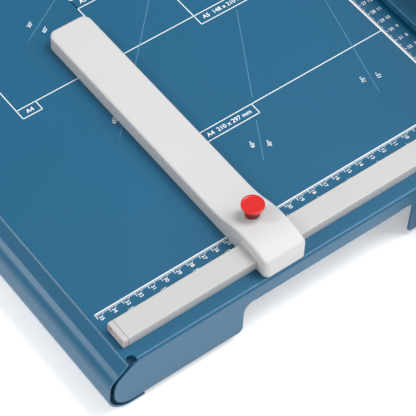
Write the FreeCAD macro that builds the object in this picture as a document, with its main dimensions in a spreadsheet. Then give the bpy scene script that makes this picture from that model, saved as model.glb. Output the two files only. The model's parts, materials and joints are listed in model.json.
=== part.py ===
"""Rotary paper trimmer: blue sheet-steel table, backstop, sprung clamp bar and a sliding rotary cutter.

Row frame, millimetres: X to the right across the table, Y from the front edge to the back, Z up.
The origin is on the desk under the middle of the trimmer's outer box. The paper is cut along the
vertical plane X = cut_x, and the trimmer is the same front and back about Y = 0.
"""
import FreeCAD, Part
import Sketcher
import math
import os
import re

V = FreeCAD.Vector
doc = FreeCAD.newDocument("rotary_paper_trimmer")

# ---------------------------------------------------------------- driving sizes, one cell each
SIZES = [
    # overall
    ("table_reach", 369.8, "cut line to the outermost left of the rolled edge"),
    ("block_reach", 36, "cut line to the right face of the end blocks"),
    ("fence_gap", 390, "between the inner faces of the two fences"),
    ("table_top", 48, "table surface above the desk"),
    ("foot_drop", 1.9, "rubber feet below the sheet"),
    ("way_room", 0.1, "radial room around a screw's shank in its way"),
    ("head_room", 0.2, "radial room around a screw's head in its counterbore"),
    ("gap", 0.3, "clearance between pieces that move past each other"),
    ("running", 0.05, "radial clearance of a pin in its bore"),
    # sheet-steel table
    ("sheet", 1.5, "thickness of the table sheet"),
    ("fold_inner", 0.8, "inner radius of the folds"),
    ("apron_setback", 29, "fence inner face to apron outer face"),
    ("apron_clear", 7, "apron's bottom edge above the desk"),
    ("apron_inset", 4.5, "table's left side to the left edge of the apron"),
    ("apron_right", 32, "cut line to the right edge of the apron"),
    ("notch_inset", 15.8, "table's left side to the corner relief"),
    ("notch_wide", 6.5, "width of the corner relief"),
    ("notch_depth", 3.6, "depth of the corner relief behind the fold"),
    ("grip_inset", 105.8, "table's left side to the hand cut-out"),
    ("grip_right", 122, "cut line to the right side of the hand cut-out"),
    ("grip_drop", 15.5, "table surface to the upper edge of the hand cut-out"),
    ("grip_lip", 8, "depth of the lip folded in along the hand cut-out"),
    ("leg_clear", 3, "bottom of the right leg above the desk"),
    ("flange", 9.5, "flat return under the rolled edge"),
    ("roll_wall", 8.0821, "straight wall of the rolled edge, between its shoulder and its belly"),
    ("lobe_drop", 20, "table surface to where the apron's left lobe is widest"),
    ("lobe_round", 14.5, "lower corner radius of the apron's left lobe"),
    ("grip_round", 8.5, "corner radius at the left of the hand cut-out"),
    ("stiffener_place", 100, "centre plane to each stiffener under the table"),
    ("stiffener_wide", 34, "width of a stiffener"),
    ("stiffener_deep", 12, "depth of a stiffener"),
    # fences
    ("fence_inset", 19.8, "table's left side to the left end of a fence"),
    ("fence_stop", 37, "cut line to the right end of a fence"),
    ("fence_wide", 17.3, "width of a fence rail"),
    ("fence_tall", 8, "height of a fence rail above the table"),
    ("fence_wall", 2, "top and outer walls of a fence rail"),
    ("fence_floor", 1.5, "bottom wall of a fence rail"),
    ("fence_groove", 5.5, "depth of the clamping groove in a fence rail"),
    ("cap_long", 4, "length of a fence end cap"),
    ("fence_screw_in", 11.2, "fence inner face to its screws"),
    ("fence_screw", 3, "diameter of the fence screws"),
    # backstop
    ("arm_place", 230, "cut line to the middle of the backstop arm"),
    ("arm_wide", 33, "width of the backstop arm"),
    ("arm_reach", 217.5, "front fence to the rear end of the arm"),
    ("arm_tall", 12, "top of the arm above the table"),
    ("arm_lift", 0.4, "underside of the arm above the table"),
    ("arm_wall", 2.6, "wall of the arm moulding"),
    ("arm_nose", 27.7, "front fence to the front face of the arm's head"),
    ("crown_tall", 18.6, "highest point of the arm's head above the table"),
    ("crown_ahead", 4.5, "front fence to the highest line of the head"),
    ("crown_round", 60, "radius of the head's crown and of the sweep up to it"),
    ("knob_behind", 9, "front fence to the knob's axis"),
    ("knob_wide", 15.8, "diameter of the knob's cap"),
    ("knob_neck", 11, "diameter of the knob's neck"),
    ("knob_top", 27.6, "top of the knob above the table"),
    ("knob_rim", 2.3, "height of the rim of the knob's cap"),
    ("seat_tall", 16.4, "knob seat above the table"),
    ("spindle", 5, "diameter of the clamp spindle"),
    ("pitch", 0.8, "thread pitch of the clamp spindle"),
    ("jaw_long", 24, "length of the clamp jaw along the fence"),
    ("jaw_thick", 3, "thickness of the clamp jaw"),
    ("jaw_bite", 4.6, "reach of the jaw into the fence groove"),
    ("jaw_room_tall", 9.4, "roof of the jaw's room in the arm above the table"),
    ("washer", 0.5, "thickness of the washer under the knob"),
    ("clip_thick", 0.7, "thickness of the spindle's retaining clip"),
    ("clip_bite", 0.6, "depth of the clip's groove in the spindle"),
    ("arm_corner", 4, "corner radius of the arm seen from above"),
    ("arm_rim", 3, "radius of the arm's upper rim"),
    # cutting bed
    ("knife_thick", 3, "thickness of the bed knife"),
    ("knife_tall", 20, "height of the bed knife"),
    ("bed_left", 30, "cut line to the left side of the bed beam"),
    ("bed_wall", 3, "wall of the bed beam"),
    ("bed_clear", 4, "underside of the bed beam above the desk"),
    ("flat_screw", 4, "diameter of the countersunk screws in the bed"),
    ("table_screw_in", 13, "bed beam's left side to the table screws"),
    # end blocks
    ("wing_left", 104, "cut line to the left end of an end block's wing"),
    ("wing_below", 10, "top of the wing below the table surface"),
    ("wing_setback", 31, "fence to the inner face of the wing"),
    ("block_deep", 28, "depth of the pylon along the cut"),
    ("pylon_left", 38, "cut line to the left side of the pylon"),
    ("pylon_above", 8, "top of the pylon above the guide rail"),
    ("block_wall", 3, "wall of the end block moulding"),
    ("block_round", 9, "corner radius of the end blocks"),
    ("foot_wide", 14, "diameter of the feet under the end blocks"),
    ("foot_inset", 11, "end block faces to the middle of a foot"),
    ("base_plate", 2, "thickness of the plate that closes an end block"),
    ("cap_screw", 5, "diameter of the socket screws that hold the rail and the bed"),
    ("cap_head", 8.8, "diameter of their heads"),
    ("cap_sunk", 6.5, "depth of the counterbores over their heads"),
    ("rail_boss", 13.2, "diameter of the bosses behind the guide rail's screws"),
    ("beam_boss", 11, "diameter of the bosses around the bed beam's screws"),
    ("beam_screw_in", 13.5, "bed beam's left side to its end screws"),
    # guide rail
    ("rail_right", 3, "cut line to the right side of the guide rail"),
    ("rail_wide", 18, "width of the guide rail"),
    ("rail_low", 24, "underside of the guide rail above the table"),
    ("rail_tall", 26, "height of the guide rail"),
    ("rail_wall", 2.5, "wall of the guide rail"),
    ("bumper", 3, "thickness of the rubber bumper at each end of the rail"),
    # cutter head
    ("blade_wide", 45, "diameter of the rotary blade"),
    ("blade_thick", 1.2, "thickness of the rotary blade"),
    ("blade_dip", 2, "depth of the blade below the table surface"),
    ("blade_side", 0.05, "clearance between the blade and the bed knife"),
    ("overrun", 14, "fence to the blade's axle at the end of its travel"),
    ("head_long", 72, "length of the cutter head along the rail"),
    ("head_left", 30, "cut line to the left side of the cutter head"),
    ("head_right", 22, "cut line to the right side of the cutter head"),
    ("head_low", 15, "underside of the cutter head above the table"),
    ("head_tall", 62, "top of the cutter head above the table"),
    ("bush_wall", 1.5, "wall of a slide bush"),
    ("bush_long", 12, "length of a slide bush"),
    ("cover_rim", 4.5, "blade cover beyond the blade's edge"),
    ("cover_low", 1.6, "lower edge of the blade cover above the table"),
    ("blade_room", 1.5, "radial room around the blade in its cover"),
    ("room_right", 10, "cut line to the outer wall of the blade's room"),
    ("axle", 6, "diameter of the blade axle"),
    ("hub_wide", 20, "diameter of the blade hub's flange"),
    ("hub_barrel", 12, "diameter of the blade hub's barrel and spigot"),
    ("hub_end", 9.2, "cut line to the outer end of the blade hub"),
    ("grip_tall", 9, "height of the soft grip on the cutter head"),
    ("guard_thick", 1.4, "thickness of the blade guard plate"),
    ("guard_long", 44, "length of the blade guard plate"),
    ("head_screw", 3, "diameter of the screws that close the head"),
    ("head_cap", 5.6, "diameter of their heads"),
    # clamp bar
    ("bar_left", 33, "cut line to the left side of the clamp bar"),
    ("bar_right", 4, "cut line to the right side of the clamp bar"),
    ("bar_beyond", 22, "clamp bar beyond each fence"),
    ("bar_low", 3, "underside of the clamp bar above the table"),
    ("bar_thick", 5.8, "thickness of the clamp bar"),
    ("strip_wide", 6, "width of the rubber strip under the clamp bar"),
    ("strip_thick", 1.2, "thickness of that strip below the bar"),
    ("strip_sunk", 0.8, "depth of the strip's groove in the bar"),
    ("stud_inset", 6.5, "clamp bar's left side to the shoulder screws"),
    ("stud_beyond", 13, "fence to the shoulder screws"),
    ("stud_wide", 5, "diameter of a shoulder screw's shank"),
    ("stud_thread", 3.4, "diameter of a shoulder screw's thread"),
    ("spring_wide", 9, "outer diameter of a clamp spring"),
    ("spring_wire", 0.7, "wire of a clamp spring"),
]

# ---------------------------------------------------------------- places worked out from them
PLACES = [
    ("cut_x", "(table_reach - block_reach) / 2"),
    ("apron_left", "table_reach - apron_inset"),
    ("notch_left", "table_reach - notch_inset"),
    ("notch_right", "notch_left - notch_wide"),
    ("grip_left", "table_reach - grip_inset"),
    ("fence_reach", "table_reach - fence_inset"),
    ("wing_tall", "table_top - wing_below"),
    ("fence_y", "fence_gap / 2"),
    ("apron_y", "fence_y + apron_setback"),
    ("fold_outer", "fold_inner + sheet"),
    ("fold_y", "apron_y - fold_outer"),
    ("roll_y", "apron_y - 1"),
    ("sheet_low", "table_top - sheet"),
    ("fence_mid", "cut_x - (fence_reach + fence_stop) / 2"),
    ("arm_x", "cut_x - arm_place"),
    ("knob_y", "knob_behind - fence_y"),
    ("wing_y", "fence_y + wing_setback"),
    ("blade_z", "table_top + blade_wide / 2 - blade_dip"),
    ("head_y", "-fence_y - overrun"),
    ("pylon_y", "fence_y + overrun + head_long / 2 + bumper + 1"),
    ("block_y", "pylon_y + block_deep"),
    ("rail_x0", "cut_x - rail_right - rail_wide"),
    ("rail_x1", "cut_x - rail_right"),
    ("rail_z0", "table_top + rail_low"),
    ("rail_z1", "rail_z0 + rail_tall"),
    ("pylon_top", "rail_z1 + pylon_above"),
    ("split_x", "cut_x - rail_right - rail_wide / 2"),
    ("bed_x0", "cut_x - bed_left"),
    ("bed_x1", "cut_x - knife_thick"),
    ("bar_z0", "table_top + bar_low"),
    ("bar_z1", "bar_z0 + bar_thick"),
    ("bar_y", "fence_y + bar_beyond"),
    ("stud_x", "cut_x - bar_left + stud_inset"),
    ("stud_y", "fence_y + stud_beyond"),
    ("cover_wide", "blade_wide + 2 * cover_rim"),
]

sheet = doc.addObject("Spreadsheet::Sheet", "dims")
places = doc.addObject("App::FeaturePython", "places")
probe = doc.addObject("App::FeaturePython", "probe")
probe.addProperty("App::PropertyFloat", "value")
owner = {}


def refs(text):
    """Spells a formula's names out as cells of the sheet or as worked-out places."""
    return re.sub(r"[a-z][a-z_0-9]*", lambda word: owner.get(word.group(0), "") + word.group(0), str(text))


def number(text):
    """The present value of a formula."""
    probe.setExpression("value", refs(text))
    probe.recompute()
    return probe.value


def fill_sheet():
    for row, (name, value, meaning) in enumerate(SIZES, start=1):
        sheet.set("A%d" % row, str(value))
        sheet.setAlias("A%d" % row, name)
        sheet.set("B%d" % row, meaning)
        owner[name] = "dims."
    doc.recompute()
    for name, formula in PLACES:
        places.addProperty("App::PropertyFloat", name)
        places.setExpression(name, refs(formula))
        owner[name] = "places."
        places.recompute()


fill_sheet()

# ---------------------------------------------------------------- building blocks
ALONG_X = FreeCAD.Rotation(V(0, 1, 0), 90)
ALONG_Y = FreeCAD.Rotation(V(1, 0, 0), -90)
ALONG_Z = FreeCAD.Rotation()
TURNS = {"X": ALONG_X, "Y": ALONG_Y, "Z": ALONG_Z}


def bind(obj, **formulas):
    """Binds properties to formulas; x, y and z are the placement's base."""
    for prop, formula in formulas.items():
        target = "Placement.Base." + prop if prop in ("x", "y", "z") else prop
        obj.setExpression(target, refs(formula))
    return obj


def box(name, x, y, z):
    """A block given by its two limits along each axis."""
    obj = doc.addObject("Part::Box", name)
    bind(obj, x=x[0], y=y[0], z=z[0], Length=f"({x[1]}) - ({x[0]})", Width=f"({y[1]}) - ({y[0]})",
         Height=f"({z[1]}) - ({z[0]})")
    return obj


def rod(name, axis, start, length, radius):
    """A round bar along X, Y or Z from a start point."""
    obj = doc.addObject("Part::Cylinder", name)
    obj.Placement = FreeCAD.Placement(V(), TURNS[axis])
    bind(obj, x=start[0], y=start[1], z=start[2], Height=length, Radius=radius)
    return obj


def cone(name, start, height, low_radius, high_radius, axis="Z"):
    obj = doc.addObject("Part::Cone", name)
    obj.Placement = FreeCAD.Placement(V(), TURNS[axis])
    bind(obj, x=start[0], y=start[1], z=start[2], Height=height, Radius1=low_radius, Radius2=high_radius)
    return obj


def join(name, pieces):
    obj = doc.addObject("Part::MultiFuse", name)
    obj.Shapes = pieces
    obj.Refine = True
    return obj


def without(name, base, *tools):
    """Cuts the tools out of the base."""
    tool = tools[0] if len(tools) == 1 else join(name + "_tools", list(tools))
    obj = doc.addObject("Part::Cut", name)
    obj.Base = base
    obj.Tool = tool
    obj.Refine = True
    return obj


def group(name, pieces):
    """Separate solids that share one node."""
    obj = doc.addObject("Part::Compound", name)
    obj.Links = pieces
    return obj


def mirrored(name, source):
    """The same piece on the other side of the plane Y = 0."""
    obj = doc.addObject("Part::Mirroring", name)
    obj.Source = source
    obj.Normal = V(0, 1, 0)
    obj.Base = V(0, 0, 0)
    return obj


def straight_edges(shape, axis, inside):
    """Numbers of the straight edges along an axis whose middle passes the test."""
    found = []
    for index, edge in enumerate(shape.Edges, start=1):
        if not isinstance(edge.Curve, Part.Line):
            continue
        along = edge.Vertexes[1].Point - edge.Vertexes[0].Point
        along.normalize()
        if abs(getattr(along, axis)) > 0.999 and inside(edge.CenterOfMass):
            found.append(index)
    return found


def rounded(name, base, radius, *picks):
    """Fillets the edges that (axis, test) pairs pick."""
    doc.recompute()
    size = number(radius)
    chosen = sorted({index for axis, inside in picks for index in straight_edges(base.Shape, axis, inside)})
    obj = doc.addObject("Part::Fillet", name)
    obj.Base = base
    obj.Edges = [(index, size, size) for index in chosen]
    doc.recompute()
    return obj


def outline(name, corners, turn):
    """A closed sketch whose corners are bound to formulas, with straight sides."""
    sketch = doc.addObject("Sketcher::SketchObject", name)
    sketch.Placement = FreeCAD.Placement(V(), turn)
    points = [V(number(u), number(v), 0) for u, v in corners]
    count = len(points)
    for i in range(count):
        sketch.addGeometry(Part.LineSegment(points[i], points[(i + 1) % count]), False)
    for i in range(count):
        sketch.addConstraint(Sketcher.Constraint("Coincident", i, 2, (i + 1) % count, 1))
    for i, corner in enumerate(corners):
        for axis, kind in enumerate(("DistanceX", "DistanceY")):
            index = sketch.addConstraint(Sketcher.Constraint(kind, -1, 1, i, 1, points[i][axis]))
            sketch.setExpression("Constraints[%d]" % index, refs(corner[axis]))
    return sketch


UPRIGHT_XZ = FreeCAD.Rotation(V(1, 0, 0), 90)


def drawn(name, sketch, direction, start, length):
    """Extrudes a sketch along a direction from a start along that direction."""
    obj = doc.addObject("Part::Extrusion", name)
    obj.Base = sketch
    obj.DirMode = "Custom"
    obj.Dir = direction
    obj.Solid = True
    bind(obj, LengthFwd=length)
    axis = "xyz"[[abs(c) > 0.5 for c in direction].index(True)]
    sketch_place = {axis: start}
    bind(sketch, **sketch_place)
    return obj


def profile_y(name, corners, start, length):
    """A prism with an X-Z outline, running towards +Y from a start."""
    return drawn(name, outline(name + "_outline", corners, UPRIGHT_XZ), V(0, 1, 0), start, length)


NODES = []


def node(obj, label):
    """Marks a finished piece and gives it its own label."""
    obj.Label = label
    NODES.append(obj)
    return obj


# ---------------------------------------------------------------- the table sheet
FENCE_SCREW_X = ("cut_x - fence_reach + 20", "fence_mid", "cut_x - fence_stop - 20")
BED_SCREW_Y = ("-fence_y + 20", "-fence_y / 3", "fence_y / 3", "fence_y - 20")

# The left edge is rolled: (turn in degrees, outer radius) or (0, length) in the order that the sheet
# is formed, going left and down from the flat top. A negative turn bends back up.
ROLL_SHOULDER = [(48, 4.0), (0, 7.6), (-13, 4.0), (0, 3.7), (51, 10.7)]
ROLL_BELLY_TURN = 94


def roll_path(steps, left_of):
    """Points, tangent heading and pieces of the rolled edge's outer face, from the flat top's end."""
    pieces = []
    u, w, heading = left_of, 0.0, 180.0
    for turn, size in steps:
        angle = math.radians(heading)
        if turn == 0:
            pieces.append(("line", (u, w), heading, size))
            u += size * math.cos(angle)
            w += size * math.sin(angle)
        else:
            pieces.append(("bend", (u, w), heading, turn, size))
            side = 1.0 if turn > 0 else -1.0
            centre = (u - side * size * math.sin(angle), w + side * size * math.cos(angle))
            heading += turn
            angle = math.radians(heading)
            u = centre[0] + side * size * math.sin(angle)
            w = centre[1] - side * size * math.cos(angle)
    return pieces, (u, w)


def strip_face(pieces, thickness, lift, x_start):
    """The X-Z face of a bent strip: its outer line from x_start, and the same line a thickness inside."""
    outer, inner = [], []

    def at(point, heading, depth):
        angle = math.radians(heading)
        return V(point[0] - depth * math.sin(angle), 0, lift + point[1] + depth * math.cos(angle))

    for depth, edges in ((0.0, outer), (thickness, inner)):
        edges.append(Part.makeLine(V(x_start, 0, lift - depth), at(pieces[0][1], 180, depth)))
        for piece in pieces:
            point, heading = piece[1], piece[2]
            if piece[0] == "line":
                angle = math.radians(heading)
                end = (point[0] + piece[3] * math.cos(angle), point[1] + piece[3] * math.sin(angle))
                edges.append(Part.makeLine(at(point, heading, depth), at(end, heading, depth)))
                continue
            turn, radius = piece[3], piece[4]
            side = 1.0 if turn > 0 else -1.0
            angle = math.radians(heading)
            centre = (point[0] - side * radius * math.sin(angle), point[1] + side * radius * math.cos(angle))

            def on_arc(share):
                bend = math.radians(heading + share * turn)
                reach = radius - side * depth
                return V(centre[0] + side * reach * math.sin(bend), 0,
                         lift + centre[1] - side * reach * math.cos(bend))

            edges.append(Part.Arc(on_arc(0), on_arc(0.5), on_arc(1)).toShape())
    ends = [Part.makeLine(outer[0].Vertexes[0].Point, inner[0].Vertexes[0].Point),
            Part.makeLine(outer[-1].Vertexes[1].Point, inner[-1].Vertexes[1].Point)]
    return Part.Face(Part.Wire(Part.__sortEdges__(outer + inner + ends)))


ROLL_HEADING = math.radians(sum(turn for turn, _ in ROLL_SHOULDER))


def belly_radius():
    """Outer radius of the roll's belly: it takes up the height that the shoulder and wall leave."""
    _, shoulder_end = roll_path(ROLL_SHOULDER, 0.0)
    left_over = number("table_top - foot_drop") + shoulder_end[1] - number("roll_wall") * math.sin(ROLL_HEADING)
    return left_over / (math.cos(ROLL_HEADING) - math.cos(ROLL_HEADING + math.radians(ROLL_BELLY_TURN)))


def rolled_strip():
    """Flat top and rolled left edge as one strip, between the two roll ends."""
    radius = belly_radius()
    upper = ROLL_SHOULDER + [(0, number("roll_wall"))]
    _, wall_end = roll_path(upper, 0.0)
    outermost = wall_end[0] - radius * (1.0 - math.sin(ROLL_HEADING))
    steps = upper + [(ROLL_BELLY_TURN, radius), (0, number("flange"))]
    left_x = number("cut_x - table_reach")
    pieces, _ = roll_path(steps, left_x - outermost)
    face = strip_face(pieces, number("sheet"), number("table_top"), number("cut_x - knife_thick - 0.2"))
    half = number("roll_y")
    face.translate(V(0, -half, 0))
    return face.extrude(V(0, 2 * half, 0))


strip = doc.addObject("Part::Feature", "rolled_strip")
strip.Shape = rolled_strip()


def fold(name, x, edge_y, top_z):
    """A quarter-round fold along X from the flat top down to the front apron."""
    ring = without(name, rod(name + "_round", "X", (x[0], edge_y, f"{top_z} - fold_outer"),
                             f"({x[1]}) - ({x[0]})", "fold_outer"),
                   rod(name + "_hollow", "X", (x[0], edge_y, f"{top_z} - fold_outer"),
                       f"({x[1]}) - ({x[0]})", "fold_inner"))
    quarter = box(name + "_quarter", x, (f"{edge_y} - fold_outer", edge_y),
                  (f"{top_z} - fold_outer", top_z))
    obj = doc.addObject("Part::MultiCommon", name + "_bend")
    obj.Shapes = [ring, quarter]
    return obj


def apron():
    """The front apron: left lobe, hand cut-out with its lip, and right leg, as one folded piece."""
    low = "apron_clear"
    plate = profile_y("apron_plate", [
        ("cut_x - notch_right", "table_top - fold_outer"),
        ("cut_x - apron_left + 12", "table_top - 4.6"),
        ("cut_x - apron_left + 2.2", "table_top - 12.5"),
        ("cut_x - apron_left", "table_top - lobe_drop"),
        ("cut_x - apron_left", low),
        ("cut_x - grip_left", low),
        ("cut_x - grip_left", "table_top - grip_drop + 2.5"),
        ("cut_x - grip_right", "table_top - grip_drop + 2.5"),
        ("cut_x - grip_right - 1", "leg_clear"),
        ("cut_x - apron_right", "leg_clear"),
        ("cut_x - apron_right", "table_top - fold_outer"),
    ], "-apron_y", "sheet")
    left = number("cut_x - apron_left")
    low_z = number(low)
    grip_left = number("cut_x - grip_left")
    grip_right = number("cut_x - grip_right")
    grip_top = number("table_top - grip_drop + 2.5")
    leg_low = number("leg_clear")

    def near(x, z):
        return lambda c: abs(c.x - x) < 0.01 and abs(c.z - z) < 0.01

    side_long = "table_top - lobe_drop - apron_clear"
    plate = rounded("apron_belly", plate, f"min(lobe_round; {side_long} - 0.6)", ("y", near(left, low_z)))
    plate = rounded("apron_shoulder", plate, "8", ("y", near(left, number("table_top - lobe_drop"))))
    plate = rounded("apron_cheek", plate, "5", ("y", near(left + 2.2, number("table_top - 12.5"))))
    plate = rounded("apron_corner", plate, "4", ("y", near(grip_left, low_z)))
    plate = rounded("grip_corner", plate, "grip_round", ("y", near(grip_left, grip_top)))
    plate = rounded("grip_corner_right", plate, "5.5", ("y", near(grip_right, grip_top)))
    plate = rounded("leg_corner", plate, "3", ("y", near(grip_right - 1, leg_low)))
    lip_x = ("cut_x - grip_left + 9.5", "cut_x - grip_right - 12")
    lip_z = "table_top - grip_drop"
    tab = box("grip_tab", lip_x, ("-apron_y", "-apron_y + sheet"),
              (f"{lip_z} + fold_outer", f"{lip_z} + 2.5 + fold_outer"))
    lip = box("grip_lip_flat", lip_x, ("-apron_y + fold_outer", "-apron_y + grip_lip"),
              (lip_z, f"{lip_z} + sheet"))
    ring = without("grip_lip_ring",
                   rod("grip_lip_round", "X", (lip_x[0], "-apron_y + fold_outer", f"{lip_z} + fold_outer"),
                       f"({lip_x[1]}) - ({lip_x[0]})", "fold_outer"),
                   rod("grip_lip_hollow", "X", (lip_x[0], "-apron_y + fold_outer", f"{lip_z} + fold_outer"),
                       f"({lip_x[1]}) - ({lip_x[0]})", "fold_inner"))
    quarter = box("grip_lip_quarter", lip_x, ("-apron_y", "-apron_y + fold_outer"),
                  (lip_z, f"{lip_z} + fold_outer"))
    bend = doc.addObject("Part::MultiCommon", "grip_lip_bend")
    bend.Shapes = [ring, quarter]
    top_fold = fold("apron_fold", ("cut_x - notch_right", "cut_x - apron_right"), "-fold_y", "table_top")
    return join("apron", [plate, tab, lip, bend, top_fold])


def table():
    front = apron()
    back = mirrored("apron_back", front)
    edge = "cut_x - notch_left"
    trims = []
    for side, sign in (("front", "-"), ("back", "")):
        y_fold = ("-apron_y", "-fold_y") if sign else ("fold_y", "apron_y")
        notch_end = "fold_y - notch_depth + (notch_left - notch_right) / 2"
        y_notch = ("-apron_y", f"-({notch_end})") if sign else (notch_end, "apron_y")
        trims.append(box(side + "_fold_trim", (edge, "cut_x"), y_fold, ("sheet_low - 1", "table_top + 1")))
        notch = box(side + "_notch_box", (edge, "cut_x - notch_right"), y_notch,
                    ("sheet_low - 3", "table_top + 1"))
        trims.append(notch)
        trims.append(rod(side + "_notch_round", "Z",
                         ("cut_x - (notch_left + notch_right) / 2", y_notch[1] if sign else y_notch[0],
                          "sheet_low - 3"), "sheet + 4", "(notch_left - notch_right) / 2"))
    flat = without("table_flat", strip, *trims)
    whole = join("table_sheet", [flat, front, back])
    holes = []
    for x in FENCE_SCREW_X:
        for y in ("-fence_y - fence_screw_in", "fence_y + fence_screw_in"):
            start = (x, y, "sheet_low - 1")
            holes.append(rod("fence_screw_way", "Z", start, "sheet + 2", "fence_screw / 2 + 0.3"))
    for y in BED_SCREW_Y:
        place = ("bed_x0 + table_screw_in", y)
        way = "flat_screw / 2 + way_room"
        holes.append(rod("bed_screw_way", "Z", place + ("sheet_low - 1",), "sheet + 2", way))
        holes.append(cone("bed_screw_dish", place + ("table_top - 1.2",), "1.2", way, "3.3"))
    for y in ("-stud_y", "stud_y"):
        holes.append(rod("stud_way", "Z", ("stud_x", y, "sheet_low - 1"), "sheet + 2", "stud_thread / 2"))
    return node(without("table_plate", whole, *holes), "table_plate")


def stiffeners():
    """Two channels welded under the table, front and back."""
    def channel(name, middle):
        wide = "stiffener_wide / 2"
        low = "sheet_low - stiffener_deep"
        block = box(name + "_block", ("cut_x - fence_reach + 8", "cut_x - apron_right - 4"),
                    (f"{middle} - {wide}", f"{middle} + {wide}"), (low, "sheet_low"))
        hollow = box(name + "_hollow", ("cut_x - fence_reach + 7", "cut_x - apron_right - 3"),
                     (f"{middle} - {wide} + sheet", f"{middle} + {wide} - sheet"),
                     (f"{low} + sheet", "sheet_low"))
        return without(name, block, hollow)

    return node(group("table_stiffeners", [channel("stiffener_front", "-stiffener_place"),
                                           channel("stiffener_back", "stiffener_place")]), "table_stiffeners")


# ---------------------------------------------------------------- fences
def fence_section(name, x):
    """A stop rail's outline: closed box towards the edge, clamping groove towards the paper."""
    low, high = "table_top", "table_top + fence_tall"
    outer = box(name + "_outer", x, ("-fence_y - fence_wide", "-fence_y"), (low, high))
    groove = box(name + "_groove", x, ("-fence_y - fence_groove", "-fence_y"),
                 (f"{low} + fence_floor", f"{high} - fence_wall"))
    soft = rounded(name + "_soft", outer, "0.6", ("x", lambda c: c.z > number("table_top") + 1))
    return without(name + "_grooved", soft, groove)


def front_fence():
    rail_x = ("cut_x - fence_reach + cap_long", "cut_x - fence_stop - cap_long")
    cell_y = ("-fence_y - fence_wide + fence_wall", "-fence_y - fence_groove - fence_floor")
    cell = box("fence_cell", rail_x, cell_y, ("table_top + fence_floor", "table_top + fence_tall - fence_wall"))
    holes = [rod("fence_thread", "Z", (x, "-fence_y - fence_screw_in", "table_top - 1"), "fence_floor + 2",
                 "fence_screw / 2") for x in FENCE_SCREW_X]
    return without("front_fence", fence_section("front_fence_body", rail_x), cell, *holes)


def fence_cap(name, x, face, inward):
    """A moulded cap that closes a rail's end, with a shallow finger slot in its face."""
    slot_x = (face, f"{face} + 1.4") if inward > 0 else (f"{face} - 1.4", face)
    slot = box(name + "_slot", slot_x, ("-fence_y - fence_wide + 3", "-fence_y - fence_groove - 1.2"),
               ("table_top + 2.2", "table_top + 5"))
    return without(name, fence_section(name + "_body", x), slot)


def fences():
    front = node(front_fence(), "front_fence_rail")
    node(mirrored("back_fence", front), "back_fence_rail")
    left_x = ("cut_x - fence_reach", "cut_x - fence_reach + cap_long")
    right_x = ("cut_x - fence_stop - cap_long", "cut_x - fence_stop")
    left = node(fence_cap("left_cap", left_x, left_x[0], 1), "front_fence_left_cap")
    right = node(fence_cap("right_cap", right_x, right_x[1], -1), "front_fence_right_cap")
    node(mirrored("back_left_cap", left), "back_fence_left_cap")
    node(mirrored("back_right_cap", right), "back_fence_right_cap")
    screws = []
    for x in FENCE_SCREW_X:
        for y in ("-fence_y - fence_screw_in", "fence_y + fence_screw_in"):
            screws.append(pan_screw("fence_pan", (x, y, "sheet_low"), "7.5", "fence_screw / 2", "2.8"))
    node(group("fence_screws", screws), "fence_screws")


def pan_screw(name, seat, long, shank, head):
    """A screw put in from below: its shank runs up from the seat, and its head hangs under it."""
    shaft = rod(name + "_shank", "Z", seat, long, shank)
    cap = rod(name + "_head", "Z", (seat[0], seat[1], f"{seat[2]} - 1.8"), "1.8", head)
    slot = box(name + "_slot", (f"{seat[0]} - {head}", f"{seat[0]} + {head}"),
               (f"{seat[1]} - 0.4", f"{seat[1]} + 0.4"), (f"{seat[2]} - 1.9", f"{seat[2]} - 1"))
    return without(name, join(name + "_body", [shaft, cap]), slot)


# ---------------------------------------------------------------- backstop
def head_outline():
    """The arm's side view: flat arm, a sweep up into the crown, and the nose in front of the fence."""
    top = number("table_top")
    fence = -number("fence_y")
    radius = number("crown_round")
    crown = V(0, fence - number("crown_ahead"), top + number("crown_tall") - radius)
    low = top + number("arm_lift")
    flat = top + number("arm_tall")
    rear = fence + number("arm_reach")
    nose = fence - number("arm_nose")
    sweep_z = flat + radius
    across = math.sqrt((2 * radius) ** 2 - (sweep_z - crown.z) ** 2)
    sweep = V(0, crown.y + across, sweep_z)
    meet = (crown + sweep) * 0.5
    on_sweep = sweep + (V(0, sweep.y, flat) - sweep + (meet - sweep)).normalize() * radius
    top_of_crown = crown + V(0, 0, radius)
    nose_top = V(0, nose, crown.z + math.sqrt(radius ** 2 - (crown.y - nose) ** 2))
    edges = [
        Part.makeLine(V(0, rear, low), V(0, rear, flat)),
        Part.makeLine(V(0, rear, flat), V(0, sweep.y, flat)),
        Part.Arc(V(0, sweep.y, flat), on_sweep, meet).toShape(),
        Part.Arc(meet, top_of_crown, nose_top).toShape(),
        Part.makeLine(nose_top, V(0, nose, low)),
        Part.makeLine(V(0, nose, low), V(0, rear, low)),
    ]
    return Part.Face(Part.Wire(edges))


def arm_block():
    """The arm's outside with rounded corners and a soft upper rim."""
    wide = number("arm_wide")
    face = head_outline()
    face.translate(V(number("arm_x") - wide / 2, 0, 0))
    block = face.extrude(V(wide, 0, 0))
    corners = [block.Edges[i - 1] for i in straight_edges(block, "z", lambda c: True)]
    block = block.makeFillet(number("arm_corner"), corners)
    nose = number("-fence_y - arm_nose") + 1
    rear = number("arm_reach - fence_y") - 1
    flat = number("table_top + arm_tall") - 0.05
    rim = []
    for edge in block.Edges:
        across = isinstance(edge.Curve, Part.Line) and edge.BoundBox.XLength > wide / 2
        inside = nose < edge.CenterOfMass.y < rear
        if edge.BoundBox.ZMin > flat and not (across and inside):
            rim.append(edge)
    return block.makeFillet(number("arm_rim"), rim)


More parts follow.
